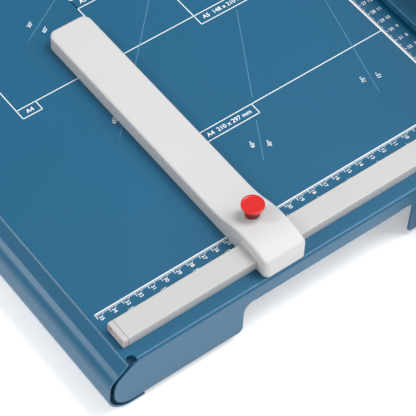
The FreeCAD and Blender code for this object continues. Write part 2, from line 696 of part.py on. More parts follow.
def backstop():
    outer = doc.addObject("Part::Feature", "arm_outer")
    outer.Shape = arm_block()
    low = "table_top + arm_lift"
    side = "arm_wide / 2 - arm_wall"
    inner_x = (f"arm_x - {side}", f"arm_x + {side}")
    saddle = box("arm_saddle", ("arm_x - arm_wide", "arm_x + arm_wide"),
                 ("-fence_y - fence_wide - gap", "-fence_y + gap"),
                 (f"{low} - 1", "table_top + fence_tall + gap"))
    hollow = box("arm_hollow", inner_x, ("-fence_y + knob_behind * 2 + 8", "-fence_y + arm_reach - arm_wall"),
                 (f"{low} - 1", "table_top + arm_tall - arm_wall"))
    jaw_room = box("arm_jaw_room", ("arm_x - jaw_long / 2 - 1", "arm_x + jaw_long / 2 + 1"),
                   ("-fence_y - 1", "-fence_y + knob_behind + 8"), (f"{low} - 1", "table_top + jaw_room_tall"))
    bore = rod("arm_bore", "Z", ("arm_x", "knob_y", "table_top"), "crown_tall + 5", "spindle / 2 + running")
    seat = rod("arm_seat", "Z", ("arm_x", "knob_y", "table_top + seat_tall"), "crown_tall",
               "knob_neck / 2 + 0.8")
    node(without("backstop_arm", outer, saddle, hollow, jaw_room, bore, seat), "backstop_arm")

    jaw = box("jaw_plate", ("arm_x - jaw_long / 2", "arm_x + jaw_long / 2"),
              ("-fence_y - jaw_bite", "-fence_y + knob_behind + 7"),
              ("table_top + fence_tall - fence_wall - running - jaw_thick",
               "table_top + fence_tall - fence_wall - running"))
    thread = rod("jaw_thread", "Z", ("arm_x", "knob_y", "table_top"), "fence_tall", "spindle / 2 + running")
    node(without("clamp_jaw", jaw, thread), "clamp_jaw")

    clip_z = "table_top + jaw_room_tall - 1"
    shaft = rod("spindle_shaft", "Z", ("arm_x", "knob_y", "table_top + 1"), "knob_top - 4", "spindle / 2")
    clip_at = ("arm_x", "knob_y", clip_z)
    waist = without("spindle_waist", rod("spindle_waist_outer", "Z", clip_at, "clip_thick", "spindle"),
                    rod("spindle_waist_inner", "Z", clip_at, "clip_thick", "spindle / 2 - clip_bite"))
    node(without("clamp_spindle", shaft, waist), "clamp_spindle")
    ring = without("clip_ring", rod("clip_outer", "Z", clip_at, "clip_thick", "spindle / 2 + 1.8"),
                   rod("clip_inner", "Z", clip_at, "clip_thick", "spindle / 2 - clip_bite"))
    mouth = box("clip_mouth", ("arm_x - 1.2", "arm_x + 1.2"), ("knob_y", "knob_y + spindle + 1"),
                (clip_z, f"{clip_z} + clip_thick"))
    node(without("spindle_clip", ring, mouth), "spindle_clip")
    knob()


def knob():
    """A mushroom knob: tapered neck, flared underside and a flat cap with a rim."""
    neck = "knob_neck / 2"
    cap = "knob_wide / 2"
    base = "table_top + seat_tall + washer"
    top = "table_top + knob_top"
    corners = [
        ("0", base), (neck, base), (f"{neck} + 0.3", f"{top} - knob_rim - 2.4"),
        (f"{cap} - 0.5", f"{top} - knob_rim"), (cap, f"{top} - knob_rim + 0.4"), (cap, f"{top} - 0.5"),
        (f"{cap} - 0.5", top), ("0", top),
    ]
    turned = doc.addObject("Part::Revolution", "knob_turned")
    turned.Source = outline("knob_outline", corners, UPRIGHT_XZ)
    turned.Axis = V(0, 0, 1)
    turned.Base = V(0, 0, 0)
    turned.Solid = True
    bind(turned, x="arm_x", y="knob_y")
    hole = rod("knob_hole", "Z", ("arm_x", "knob_y", "table_top + seat_tall - 1"), "knob_top - seat_tall - 2",
               "spindle / 2")
    node(without("backstop_knob", turned, hole), "backstop_knob")
    disc = rod("washer_disc", "Z", ("arm_x", "knob_y", "table_top + seat_tall"), "washer",
               "knob_neck / 2 + 0.3")
    eye = rod("washer_eye", "Z", ("arm_x", "knob_y", "table_top + seat_tall - 1"), "washer + 2",
              "spindle / 2 + running")
    node(without("knob_washer", disc, eye), "knob_washer")


# ---------------------------------------------------------------- cutting bed
KNIFE_SCREW_Z = "table_top - knife_tall / 2 - 2"
KNIFE_SCREW_Y = tuple(f"-wing_y + wing_y * 2 * {share} / 16" for share in range(1, 16, 2))


def bed():
    y = ("-wing_y", "wing_y")
    beam = box("beam_outer", ("bed_x0", "bed_x1"), y, ("bed_clear", "sheet_low"))
    cell = box("beam_cell", ("bed_x0 + bed_wall", "bed_x1 - bed_wall"), ("-wing_y - 1", "wing_y + 1"),
               ("bed_clear + bed_wall", "sheet_low - bed_wall - 4"))
    ports = []
    for z in ("bed_clear + 7", "sheet_low - 9"):
        for side, start in (("front", "-wing_y"), ("back", "wing_y - 22")):
            ports.append(rod(side + "_port", "Y", ("bed_x0 + beam_screw_in", start, z), "22", "cap_screw / 2"))
    lug_x = ("bed_x0 + 8", "bed_x0 + 19")
    lugs = [box("beam_lug_low", lug_x, y, ("bed_clear + bed_wall", "bed_clear + 12.5")),
            box("beam_lug_high", lug_x, y, ("sheet_low - 14.5", "sheet_low - bed_wall"))]
    body = join("beam_body", [without("beam_tube", beam, cell)] + lugs)
    tapped = [rod("beam_top_tap", "Z", ("bed_x0 + table_screw_in", y_at, "sheet_low - 8"), "9",
                  "flat_screw / 2") for y_at in BED_SCREW_Y]
    studs = [rod("beam_stud_tap", "Z", ("stud_x", y_at, "sheet_low - 12"), "13", "stud_thread / 2")
             for y_at in ("-stud_y", "stud_y")]
    side_taps = [rod("beam_side_tap", "X", ("bed_x1 - 9", y_at, KNIFE_SCREW_Z), "10", "flat_screw / 2")
                 for y_at in KNIFE_SCREW_Y]
    node(without("bed_beam", body, *ports, *tapped, *studs, *side_taps), "bed_beam")

    blank = box("knife_blank", ("bed_x1", "cut_x"), ("-wing_y + 1", "wing_y - 1"),
                ("table_top - knife_tall", "table_top"))
    dishes = []
    for y_at in KNIFE_SCREW_Y:
        hole_at = ("bed_x1 - 1", y_at, KNIFE_SCREW_Z)
        dishes.append(rod("knife_hole", "X", hole_at, "knife_thick + 2", "flat_screw / 2"))
        dishes.append(cone("knife_dish", ("cut_x - 2", y_at, KNIFE_SCREW_Z), "2", "flat_screw / 2", "4", "X"))
    node(without("bed_knife", blank, *dishes), "bed_knife")

    screws = []
    for y_at in KNIFE_SCREW_Y:
        shank_at = ("bed_x1 - 8", y_at, KNIFE_SCREW_Z)
        shank = rod("knife_screw_shank", "X", shank_at, "knife_thick + 6", "flat_screw / 2")
        head = cone("knife_screw_head", ("cut_x - 2", y_at, KNIFE_SCREW_Z), "1.9", "flat_screw / 2", "3.9", "X")
        socket = box("knife_screw_socket", ("cut_x - 1", "cut_x + 1"), (f"{y_at} - 1.1", f"{y_at} + 1.1"),
                     (f"{KNIFE_SCREW_Z} - 1.1", f"{KNIFE_SCREW_Z} + 1.1"))
        screws.append(without("knife_screw", join("knife_screw_body", [shank, head]), socket))
    node(group("bed_knife_screws", screws), "bed_knife_screws")

    flush = []
    for y_at in BED_SCREW_Y:
        place = ("bed_x0 + table_screw_in", y_at)
        shank = rod("table_screw_shank", "Z", place + ("sheet_low - 7.5",), "sheet + 7", "flat_screw / 2")
        head = cone("table_screw_head", place + ("table_top - 1.2",), "1.1", "flat_screw / 2", "3.1")
        slot = box("table_screw_slot", (f"{place[0]} - 4", f"{place[0]} + 4"),
                   (f"{y_at} - 0.4", f"{y_at} + 0.4"), ("table_top - 0.8", "table_top + 1"))
        flush.append(without("table_screw", join("table_screw_body", [shank, head]), slot))
    node(group("table_screws", flush), "table_screws")


# ---------------------------------------------------------------- end blocks
FOOT_PLACES = tuple((x, y) for x in ("cut_x - wing_left + foot_inset", "cut_x + block_reach - foot_inset")
                    for y in ("-block_y + foot_inset", "block_y - foot_inset"))
RAIL_SCREW_Z = ("rail_z0 + 7", "rail_z1 - 7")
BEAM_SCREW_Z = ("bed_clear + 7", "sheet_low - 9")


def end_block():
    """The front end block: a low wing beside the apron, and the pylon that holds the guide rail."""
    right = "cut_x + block_reach"
    wing = box("wing_outer", ("cut_x - wing_left", right), ("-block_y", "-wing_y"), ("foot_drop", "wing_tall"))
    pylon = box("pylon_outer", ("cut_x - pylon_left", right), ("-block_y", "-pylon_y"),
                ("foot_drop", "pylon_top"))
    body = join("block_body", [wing, pylon])
    corner_x = (number("cut_x - wing_left"), number("cut_x - pylon_left"), number(right))
    front_y = number("-block_y")

    def outer_upright(c):
        return min(abs(c.x - x) for x in corner_x) < 0.01 and (abs(c.y - front_y) < 0.01
                                                              or abs(c.y - number("-pylon_y")) < 0.01)

    body = rounded("block_uprights", body, "block_round", ("z", outer_upright))
    top = number("pylon_top")
    brow = number("wing_tall")
    body = rounded("block_rims", body, "3", ("x", lambda c: abs(c.z - top) < 0.01),
                   ("y", lambda c: abs(c.z - top) < 0.01),
                   ("x", lambda c: abs(c.z - brow) < 0.01 and abs(c.y - front_y) < 0.01))
    wall = "block_wall"
    hollow_wing = box("wing_hollow", (f"cut_x - wing_left + {wall}", f"{right} - {wall}"),
                      (f"-block_y + {wall}", f"-wing_y - {wall}"), ("foot_drop - 1", f"wing_tall - {wall}"))
    hollow_pylon = box("pylon_hollow", (f"cut_x - pylon_left + {wall}", f"{right} - {wall}"),
                       (f"-block_y + {wall}", f"-pylon_y - {wall}"), ("foot_drop - 1", f"pylon_top - {wall}"))
    hollow = join("block_hollow", [hollow_wing, hollow_pylon])
    bosses = [rod("foot_boss", "Z", (x, y, "foot_drop + base_plate"), "wing_tall - foot_drop - base_plate - 1",
                  "foot_wide / 2 + 1.5")
              for x, y in FOOT_PLACES if y.startswith("-")]
    for z in RAIL_SCREW_Z:
        bosses.append(rod("rail_boss_rod", "Y", ("split_x", "-block_y + 1", z), "block_deep - 2",
                          "rail_boss / 2"))
    for z in BEAM_SCREW_Z:
        bosses.append(rod("beam_boss_rod", "Y", ("bed_x0 + beam_screw_in", "-block_y + 1", z),
                          "block_y - wing_y - 2", "beam_boss / 2"))
    whole = join("block_whole", [without("block_shell", body, hollow)] + bosses)
    holes = []
    way = "cap_screw / 2 + way_room"
    bore = "cap_head / 2 + head_room"
    for z in RAIL_SCREW_Z:
        holes.append(rod("rail_screw_way", "Y", ("split_x", "-block_y - 1", z), "block_deep + 2", way))
        holes.append(rod("rail_screw_bore", "Y", ("split_x", "-block_y - 1", z), "cap_sunk", bore))
    for z in BEAM_SCREW_Z:
        start = ("bed_x0 + beam_screw_in", "-block_y - 1", z)
        holes.append(rod("beam_screw_way", "Y", start, "block_y - wing_y + 2", way))
        holes.append(rod("beam_screw_bore", "Y", start, "cap_sunk", bore))
    return without("front_block", whole, *holes)


def socket_screw(name, x, y, z, long):
    """A socket-head screw along +Y, its head's outer face at y."""
    cap = rod(name + "_head", "Y", (x, y, z), "cap_screw", "cap_head / 2")
    shaft = rod(name + "_shank", "Y", (x, f"{y} + cap_screw", z), long, "cap_screw / 2")
    key = doc.addObject("Part::Prism", name + "_key")
    key.Polygon = 6
    key.Placement = FreeCAD.Placement(V(), ALONG_Y)
    bind(key, x=x, y=f"{y} - 0.5", z=z, Circumradius="cap_screw * 0.475", Height="3")
    return without(name, join(name + "_body", [cap, shaft]), key)


def end_blocks():
    front = node(end_block(), "front_end_block")
    node(mirrored("back_block", front), "back_end_block")
    screws = []
    for z in RAIL_SCREW_Z:
        screws.append(socket_screw("rail_screw", "split_x", "-block_y + 0.5", z, "block_deep + 8"))
    screws += [mirrored("rail_screw_back", screw) for screw in screws]
    node(group("guide_rail_screws", screws), "guide_rail_screws")
    screws = []
    for z in BEAM_SCREW_Z:
        screws.append(socket_screw("beam_screw", "bed_x0 + beam_screw_in", "-block_y + 0.5", z,
                                   "block_y - wing_y + 12"))
    screws += [mirrored("beam_screw_back", screw) for screw in screws]
    node(group("bed_beam_screws", screws), "bed_beam_screws")
    plate = box("base_plate_flat", ("cut_x - wing_left + block_wall", "cut_x + block_reach - block_wall"),
                ("-block_y + block_wall", "-wing_y - block_wall"), ("foot_drop", "foot_drop + base_plate"))
    plate = rounded("base_plate_round", plate, "block_round - block_wall",
                    ("z", lambda c: c.y < number("-pylon_y")))
    base = node(plate, "front_base_plate")
    node(mirrored("back_base_plate_copy", base), "back_base_plate")
    pads = [rod("right_foot", "Z", (x, y, "0"), "foot_drop", "foot_wide / 2") for x, y in FOOT_PLACES]
    node(group("right_feet", pads), "right_feet")
    pad_x = f"cut_x - table_reach + {belly_radius() + 0.5}"
    pads = [box("left_foot", (pad_x, f"{pad_x} + flange - 1"), (f"{y} - 15", f"{y} + 15"), ("0", "foot_drop"))
            for y in ("-fence_y + 10", "fence_y - 10")]
    node(group("left_feet", pads), "left_feet")


# ---------------------------------------------------------------- guide rail
def guide_rail():
    y = ("-pylon_y", "pylon_y")
    outer = box("rail_outer", ("rail_x0", "rail_x1"), y, ("rail_z0", "rail_z1"))
    soft = rounded("rail_soft", outer, "1.5", ("y", lambda c: True))
    cell = box("rail_cell", ("rail_x0 + rail_wall", "rail_x1 - rail_wall"), ("-pylon_y - 1", "pylon_y + 1"),
               ("rail_z0 + rail_wall", "rail_z1 - rail_wall"))
    tube = without("rail_tube", soft, cell)
    lugs = [box("rail_lug", ("rail_x0 + 2", "rail_x1 - 2"), y, (f"{z} - 4.5", f"{z} + 4.5"))
            for z in RAIL_SCREW_Z]
    ports = [rod("rail_port", "Y", ("split_x", start, z), "20", "cap_screw / 2")
             for z in RAIL_SCREW_Z for start in ("-pylon_y", "pylon_y - 20")]
    grooves = [box("rail_groove", (x, f"{x} + 0.8"), ("-pylon_y - 1", "pylon_y + 1"),
                   ("rail_z0 + rail_tall / 2 - 3", "rail_z0 + rail_tall / 2 + 3"))
               for x in ("rail_x0", "rail_x1 - 0.8")]
    grooves.append(box("rail_top_groove", ("split_x - 3", "split_x + 3"), ("-pylon_y - 1", "pylon_y + 1"),
                       ("rail_z1 - 0.8", "rail_z1")))
    node(without("guide_rail", join("rail_body", [tube] + lugs), *ports, *grooves), "guide_rail")
    bumpers = []
    for start in ("-pylon_y", "pylon_y - bumper"):
        pad = box("bumper_pad", ("rail_x0 - 4", "rail_x1 + 1.5"), (start, f"{start} + bumper"),
                  ("rail_z0 - 4", "rail_z1 + 4"))
        eye = box("bumper_eye", ("rail_x0", "rail_x1"), (f"{start} - 1", f"{start} + bumper + 1"),
                  ("rail_z0", "rail_z1"))
        bumpers.append(without("bumper_ring", pad, eye))
    node(group("rail_bumpers", bumpers), "rail_bumpers")


# ---------------------------------------------------------------- cutter head
HEAD_Y = ("head_y - head_long / 2", "head_y + head_long / 2")
RAIL_ROOM_X = ("rail_x0 - bush_wall", "rail_x1 + bush_wall")
RAIL_ROOM_Z = ("rail_z0 - bush_wall", "rail_z1 + bush_wall")
HEAD_SCREWS = tuple((y, z) for y in ("head_y - head_long / 2 + 7", "head_y + head_long / 2 - 7")
                    for z in ("table_top + head_low + 3.6", "table_top + head_tall - 5"))


def head_shells():
    """The head's housing: two shells that close round the rail on its middle plane."""
    low, high = "table_top + head_low", "table_top + head_tall"
    room = box("rail_room", RAIL_ROOM_X, (f"{HEAD_Y[0]} - 1", f"{HEAD_Y[1]} + 1"), RAIL_ROOM_Z)

    left = box("left_shell_outer", ("cut_x - head_left", "split_x"), HEAD_Y, (low, high))
    left_x = number("cut_x - head_left")
    high_z = number(high)
    left = rounded("left_shell_uprights", left, "8", ("z", lambda c: abs(c.x - left_x) < 0.01))
    left = rounded("left_shell_rim", left, "5",
                   ("y", lambda c: abs(c.x - left_x) < 0.01 and abs(c.z - high_z) < 0.01))
    ways = []
    bores = []
    for y, z in HEAD_SCREWS:
        start = ("cut_x - head_left - 1", y, z)
        ways.append(rod("left_screw_way", "X", start, "head_left", "head_screw / 2 + way_room"))
        bores.append(rod("left_screw_bore", "X", start, "5", "head_cap / 2 + 0.3"))
    node(without("head_left_shell", left, room, *ways, *bores), "head_left_shell")

    right = box("right_shell_outer", ("split_x", "cut_x + head_right"), HEAD_Y, (low, high))
    right_x = number("cut_x + head_right")
    right = rounded("right_shell_uprights", right, "8", ("z", lambda c: abs(c.x - right_x) < 0.01))
    right = rounded("right_shell_rim", right, "5",
                    ("y", lambda c: abs(c.x - right_x) < 0.01 and abs(c.z - high_z) < 0.01))
    cover = rod("blade_cover", "X", ("cut_x - 0.8", "head_y", "blade_z"), "head_right + 0.8", "cover_wide / 2")
    trim = box("blade_cover_trim", ("cut_x - 5", "cut_x + head_right + 1"),
               ("head_y - cover_wide", "head_y + cover_wide"),
               ("blade_z - cover_wide", "table_top + cover_low"))
    body = join("right_shell_body", [right, without("blade_cover_cut", cover, trim)])
    blade_room = rod("blade_room_cut", "X", ("rail_x1 + bush_wall", "head_y", "blade_z"),
                     "rail_right - bush_wall + room_right", "blade_wide / 2 + blade_room")
    axle_bore = rod("axle_bore", "X", ("cut_x", "head_y", "blade_z"), "head_right + 1", "axle / 2")
    spring_room = rod("spring_room_cut", "X", ("cut_x + room_right - 0.5", "head_y", "blade_z"),
                      "head_right - room_right - 7", "axle / 2 + 2")
    nut_room = rod("nut_room", "X", ("cut_x + head_right - 6", "head_y", "blade_z"), "7", "9")
    taps = [rod("right_screw_tap", "X", ("split_x - 1", y, z), "16", "head_screw / 2") for y, z in HEAD_SCREWS]
    rooms = [room, blade_room, axle_bore, spring_room, nut_room]
    node(without("head_right_shell", body, *rooms, *taps), "head_right_shell")

    screws = []
    for y, z in HEAD_SCREWS:
        cap = rod("head_screw_cap", "X", ("cut_x - head_left + 1", y, z), "3", "head_cap / 2")
        shaft = rod("head_screw_shank", "X", ("cut_x - head_left + 4", y, z), "head_left - rail_right - 2",
                    "head_screw / 2")
        key = box("head_screw_slot", ("cut_x - head_left", "cut_x - head_left + 2"), (f"{y} - 3", f"{y} + 3"),
                  (f"{z} - 0.4", f"{z} + 0.4"))
        screws.append(without("head_screw", join("head_screw_body", [cap, shaft]), key))
    node(group("head_screws", screws), "head_screws")

    grip = box("grip_block", ("cut_x - head_left + 4", "cut_x + head_right - 4"),
               ("head_y - head_long / 2 + 6", "head_y + head_long / 2 - 6"), (high, f"{high} + grip_tall"))
    grip = rounded("grip_uprights", grip, "10", ("z", lambda c: True))
    top = number(f"{high} + grip_tall")
    rim = [index for index, edge in enumerate(grip.Shape.Edges, start=1) if edge.BoundBox.ZMin > top - 0.01]
    pad = doc.addObject("Part::Fillet", "head_grip")
    pad.Base = grip
    pad.Edges = [(index, 6, 6) for index in rim]
    node(pad, "head_grip")

    for side, start in (("front", HEAD_Y[0] + " + 2"), ("back", HEAD_Y[1] + " - 2 - bush_long")):
        ring = box(side + "_bush_outer", RAIL_ROOM_X, (start, f"{start} + bush_long"), RAIL_ROOM_Z)
        eye = box(side + "_bush_eye", ("rail_x0 - running", "rail_x1 + running"),
                  (f"{start} - 1", f"{start} + bush_long + 1"), ("rail_z0 - running", "rail_z1 + running"))
        node(without(side + "_slide_bush", ring, eye), side + "_slide_bush")


def blade_set():
    """Blade, hub, axle and spring: the spring keeps the blade against the bed knife."""
    disc = rod("blade_disc", "X", ("cut_x + blade_side", "head_y", "blade_z"), "blade_thick", "blade_wide / 2")
    ring = without("bevel_ring",
                   rod("bevel_stock", "X", ("cut_x + blade_side", "head_y", "blade_z"), "blade_thick",
                       "blade_wide"),
                   cone("bevel_cone", ("cut_x + blade_side", "head_y", "blade_z"), "blade_thick",
                        "blade_wide / 2", "blade_wide / 2 - blade_thick * 1.6", "X"))
    eye = rod("blade_eye", "X", ("cut_x - 1", "head_y", "blade_z"), "blade_thick + 3", "hub_barrel / 2")
    node(without("rotary_blade", disc, ring, eye), "rotary_blade")

    spigot = rod("hub_spigot", "X", ("cut_x + blade_side", "head_y", "blade_z"), "hub_end - blade_side",
                 "hub_barrel / 2")
    flange = rod("hub_flange", "X", ("cut_x + blade_side + blade_thick", "head_y", "blade_z"), "2",
                 "hub_wide / 2")
    bore = rod("hub_bore", "X", ("cut_x - 1", "head_y", "blade_z"), "hub_end + 2", "axle / 2 + running")
    node(without("blade_hub", join("hub_body", [spigot, flange]), bore), "blade_hub")

    pin = rod("axle_pin", "X", ("cut_x - 0.1", "head_y", "blade_z"), "head_right - 3", "axle / 2")
    head = rod("axle_head", "X", ("cut_x - 1.2", "head_y", "blade_z"), "1.1", "4.5")
    node(join("blade_axle", [pin, head]), "blade_axle")
    disc_at = ("cut_x + hub_end + 0.1", "head_y", "blade_z")
    washer = without("thrust_washer", rod("thrust_disc", "X", disc_at, "0.6", "hub_barrel / 2"),
                     rod("thrust_eye", "X", ("cut_x", "head_y", "blade_z"), "hub_end + 2", "axle / 2"))
    node(washer, "thrust_washer")
    start = V(number("cut_x + room_right + 0.35"), number("head_y"), number("blade_z"))
    length = number("head_right - room_right - 8.2")
    node(coil("blade_spring", start, ALONG_X, length, number("axle / 2 + 1.2"), 0.6, 4), "blade_spring")
    nut = doc.addObject("Part::Prism", "nut_block")
    nut.Polygon = 6
    nut.Placement = FreeCAD.Placement(V(), ALONG_X)
    bind(nut, x="cut_x + head_right - 6", y="head_y", z="blade_z", Circumradius="6", Height="2.9")
    tap = rod("nut_tap", "X", ("cut_x + head_right - 7", "head_y", "blade_z"), "5", "axle / 2")
    node(without("axle_nut", nut, tap), "axle_nut")
    cap = rod("hub_cap_disc", "X", ("cut_x + head_right - 2.6", "head_y", "blade_z"), "4.6", "9")
    doc.recompute()
    rim = [index for index, edge in enumerate(cap.Shape.Edges, start=1)
           if edge.BoundBox.XMin > number("cut_x + head_right")]
    soft = doc.addObject("Part::Fillet", "hub_cap")
    soft.Base = cap
    soft.Edges = [(index, 1.2, 1.2) for index in rim]
    node(soft, "hub_cap")

    guard_x = ("cut_x - 1.3 - guard_thick", "cut_x - 1.3")
    guard_y = ("head_y - guard_long / 2", "head_y + guard_long / 2")
    plate = box("guard_plate", guard_x, guard_y, ("table_top + 2", "table_top + head_low"))
    foot = box("guard_foot", ("split_x + 1", "cut_x - 1.3"), guard_y,
               ("table_top + head_low - guard_thick", "table_top + head_low"))
    node(join("blade_guard", [plate, foot]), "blade_guard")


def coil(name, start, turn, length, radius, wire, turns):
    """A round-wire compression spring."""
    helix = Part.makeHelix(length / turns, length, radius)
    section = Part.Wire(Part.makeCircle(wire / 2, V(radius, 0, 0), V(0, 1, 0)))
    shape = Part.Wire(helix.Edges).makePipeShell([section], True, True)
    spring = doc.addObject("Part::Feature", name)
    spring.Shape = shape
    spring.Placement = FreeCAD.Placement(start, turn)
    return spring


# ---------------------------------------------------------------- clamp bar
def clamp_bar():
    x = ("cut_x - bar_left", "cut_x - bar_right")
    outer = box("bar_outer", x, ("-bar_y", "bar_y"), ("bar_z0", "bar_z1"))
    left = number(x[0])
    top = number("bar_z1")
    soft = rounded("bar_soft", outer, "1.2", ("y", lambda c: abs(c.z - top) < 0.01),
                   ("z", lambda c: abs(c.x - left) < 0.01))
    strip_x = (f"{x[0]} + 1.5", f"{x[0]} + 1.5 + strip_wide")
    inner = "stud_y - spring_wide"
    groove = box("bar_groove", strip_x, (f"-({inner})", inner), ("bar_z0", "bar_z0 + strip_sunk"))
    ways = [rod("bar_stud_way", "Z", ("stud_x", y, "bar_z0 - 1"), "bar_thick + 2", "stud_wide / 2 + running")
            for y in ("-stud_y", "stud_y")]
    pockets = [rod("bar_spring_room", "Z", ("stud_x", y, "bar_z0 - 1"), "bar_thick - 1",
                   "spring_wide / 2 + gap") for y in ("-stud_y", "stud_y")]
    node(without("clamp_bar", soft, groove, *ways, *pockets), "clamp_bar")
    node(box("bar_strip", strip_x, (f"-({inner})", inner), ("bar_z0 - strip_thick", "bar_z0 + strip_sunk")),
         "clamp_grip_strip")

    studs = []
    springs = []
    for y, turn in (("-stud_y", ALONG_Z), ("stud_y", FreeCAD.Rotation(V(0, 0, 1), 180))):
        shank = rod("stud_shank", "Z", ("stud_x", y, "table_top"), "bar_low + bar_thick + running",
                    "stud_wide / 2")
        thread = rod("stud_thread_rod", "Z", ("stud_x", y, "sheet_low - 10"), "sheet + 10", "stud_thread / 2")
        head = rod("stud_head", "Z", ("stud_x", y, "bar_z1 + running"), "2.2", "stud_wide * 0.9")
        key = doc.addObject("Part::Prism", "stud_key")
        key.Polygon = 6
        bind(key, x="stud_x", y=y, z="bar_z1 + 1.2", Circumradius="1.7", Height="3")
        studs.append(without("stud", join("stud_body", [shank, thread, head]), key))
        wire = number("spring_wire")
        start = V(number("stud_x"), number(y), number("table_top") + wire / 2 + 0.05)
        length = number("bar_low + bar_thick - 2") - wire - 0.1
        radius = number("spring_wide - spring_wire") / 2
        springs.append(coil("clamp_spring", start, turn, length, radius, wire, 4))
    node(group("clamp_shoulder_screws", studs), "clamp_shoulder_screws")
    node(group("clamp_springs", springs), "clamp_springs")


# ---------------------------------------------------------------- build, check and write
def build():
    table()
    stiffeners()
    fences()
    backstop()
    bed()
    end_blocks()
    guide_rail()
    head_shells()
    blade_set()
    clamp_bar()
    doc.recompute()


def check():
    """Every object is up to date, and every piece is one or more valid closed solids."""
    faults = [obj.Name for obj in doc.Objects if "Invalid" in obj.State or "Error" in obj.State]
    for piece in NODES:
        shape = piece.Shape
        if shape.isNull() or not shape.isValid() or not shape.Solids:
            faults.append(piece.Label)
        elif min(solid.Volume for solid in shape.Solids) <= 0:
            faults.append(piece.Label + " inside out")
    if faults:
        raise RuntimeError("these did not build: " + ", ".join(faults))


def write():
    os.makedirs("parts", exist_ok=True)
    for piece in NODES:
        piece.Shape.exportStep(os.path.join("parts", piece.Label + ".step"))
        print(piece.Label, len(piece.Shape.Solids), "solids", round(piece.Shape.Volume, 1), "mm3")


build()
check()
write()
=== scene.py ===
# %% [markdown]
# # A rotary paper trimmer
#
# This lesson dresses a working CAD model of a table-top rotary trimmer. The CAD frame already holds
# every working piece at its size and place, so a new surface that stands for one starts from that
# piece's own box. We load the frame first, because everything else hangs on it.

# %% Load the frame
import json
import math
import bpy
import bmesh
import numpy as np
from mathutils import Matrix, Vector


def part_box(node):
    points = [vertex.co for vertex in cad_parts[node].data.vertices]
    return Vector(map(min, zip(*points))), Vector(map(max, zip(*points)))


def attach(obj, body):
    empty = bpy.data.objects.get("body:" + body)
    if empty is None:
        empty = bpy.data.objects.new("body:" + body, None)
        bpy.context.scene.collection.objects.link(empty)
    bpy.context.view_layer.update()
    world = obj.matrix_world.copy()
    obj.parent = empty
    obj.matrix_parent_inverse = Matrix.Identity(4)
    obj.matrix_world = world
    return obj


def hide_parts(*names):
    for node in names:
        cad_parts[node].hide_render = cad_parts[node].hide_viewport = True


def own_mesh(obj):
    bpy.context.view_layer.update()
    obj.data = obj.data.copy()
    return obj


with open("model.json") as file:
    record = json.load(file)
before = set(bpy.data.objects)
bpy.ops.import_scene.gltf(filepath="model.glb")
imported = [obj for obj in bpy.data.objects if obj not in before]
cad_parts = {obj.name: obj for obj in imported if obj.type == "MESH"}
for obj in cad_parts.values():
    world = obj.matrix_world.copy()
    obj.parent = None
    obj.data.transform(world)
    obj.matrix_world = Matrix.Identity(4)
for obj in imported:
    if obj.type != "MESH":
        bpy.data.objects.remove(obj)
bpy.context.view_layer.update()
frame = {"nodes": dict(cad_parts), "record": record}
NODES = frame["nodes"]
print("frame loaded,", len(NODES), "CAD nodes")

# %% [markdown]
# ## Where things are
#
# A trimmer is read from two lines: the cut, along the bed knife, and the front fence that the paper
# leans on. We take both, and the height of the table, from the frame's boxes. After that a place can
# be said the way a ruler says it: so many millimetres from the cut, the fence and the table.

# %% Datum lines
MM = 0.001
_, knife_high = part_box("bed_knife")
fence_low, fence_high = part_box("front_fence_rail")
back_low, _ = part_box("back_fence_rail")
CUT = knife_high.x
TABLE = knife_high.z
FRONT = fence_high.y
GAP = (back_low.y - FRONT) / MM


def place(x, y, z):
    """Row-frame metres from millimetres: x from the cut, y from the front fence, z from the table."""
    return np.stack(np.broadcast_arrays(CUT + x * MM, FRONT + y * MM, TABLE + z * MM), axis=-1)


print("fences", round(GAP, 1), "mm apart")

# %% [markdown]
# ## Putting surfaces into meshes
#
# Every new piece below is worked out as whole arrays and then handed to Blender in one go. Two helpers
# do the handing over. One takes a list of points and faces. The other takes a grid of points, where a
# row is one station along the piece and a column is one place around it.

# %% Mesh helpers
def mesh_piece(name, points, faces, smooth=None):
    """An object from an array of points and a list of faces; smooth is the crease angle in degrees."""
    mesh = bpy.data.meshes.new(name)
    mesh.from_pydata(np.asarray(points, float).reshape(-1, 3), [], faces)
    mesh.validate()
    mesh.update()
    piece = bpy.data.objects.new(name, mesh)
    bpy.context.scene.collection.objects.link(piece)
    if smooth is not None:
        mesh.shade_smooth()
        mesh.set_sharp_from_angle(angle=math.radians(smooth))
    return piece


def grid_faces(rows, columns):
    """Quads between neighbouring points of a grid, whose last column joins on to its first."""
    r, c = (a.ravel() for a in np.meshgrid(np.arange(rows - 1), np.arange(columns), indexing="ij"))
    r2, c2 = r + 1, (c + 1) % columns
    quads = np.stack([r * columns + c, r * columns + c2, r2 * columns + c2, r2 * columns + c], axis=1)
    return quads.tolist()


def tube_piece(name, grid, smooth=35):
    """A closed body from stations (rows) of one closed section each (columns), with flat end caps."""
    rows, columns = grid.shape[:2]
    faces = grid_faces(rows, columns)
    faces.append(list(range(columns))[::-1])
    faces.append(list(range((rows - 1) * columns, rows * columns)))
    piece = mesh_piece(name, grid, faces, smooth)
    outward(piece.data)
    return piece


def outward(mesh):
    """Turns every face of a closed mesh outwards."""
    shape = bmesh.new()
    shape.from_mesh(mesh)
    bmesh.ops.recalc_face_normals(shape, faces=shape.faces)
    shape.to_mesh(mesh)
    shape.free()


def finish_piece(piece, body, slot, material, *nodes):
    """Gives a new piece its finish, its body and the CAD nodes that it stands for; slot is not used."""
    piece.data.materials.append(material)
    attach(piece, body)
    if nodes:
        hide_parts(*nodes)
    print(piece.name, len(piece.data.polygons), "faces")
    return piece


# %% [markdown]
# ## Finishes
#
# Real finishes differ at three scales: a grain too fine to see singly, a slow drift of tone across the
# piece, and the gloss. One recipe holds all three, and each finish below sets its own numbers. The
# patterns read Object coordinates, in metres, so a grain size is a true size on every piece.

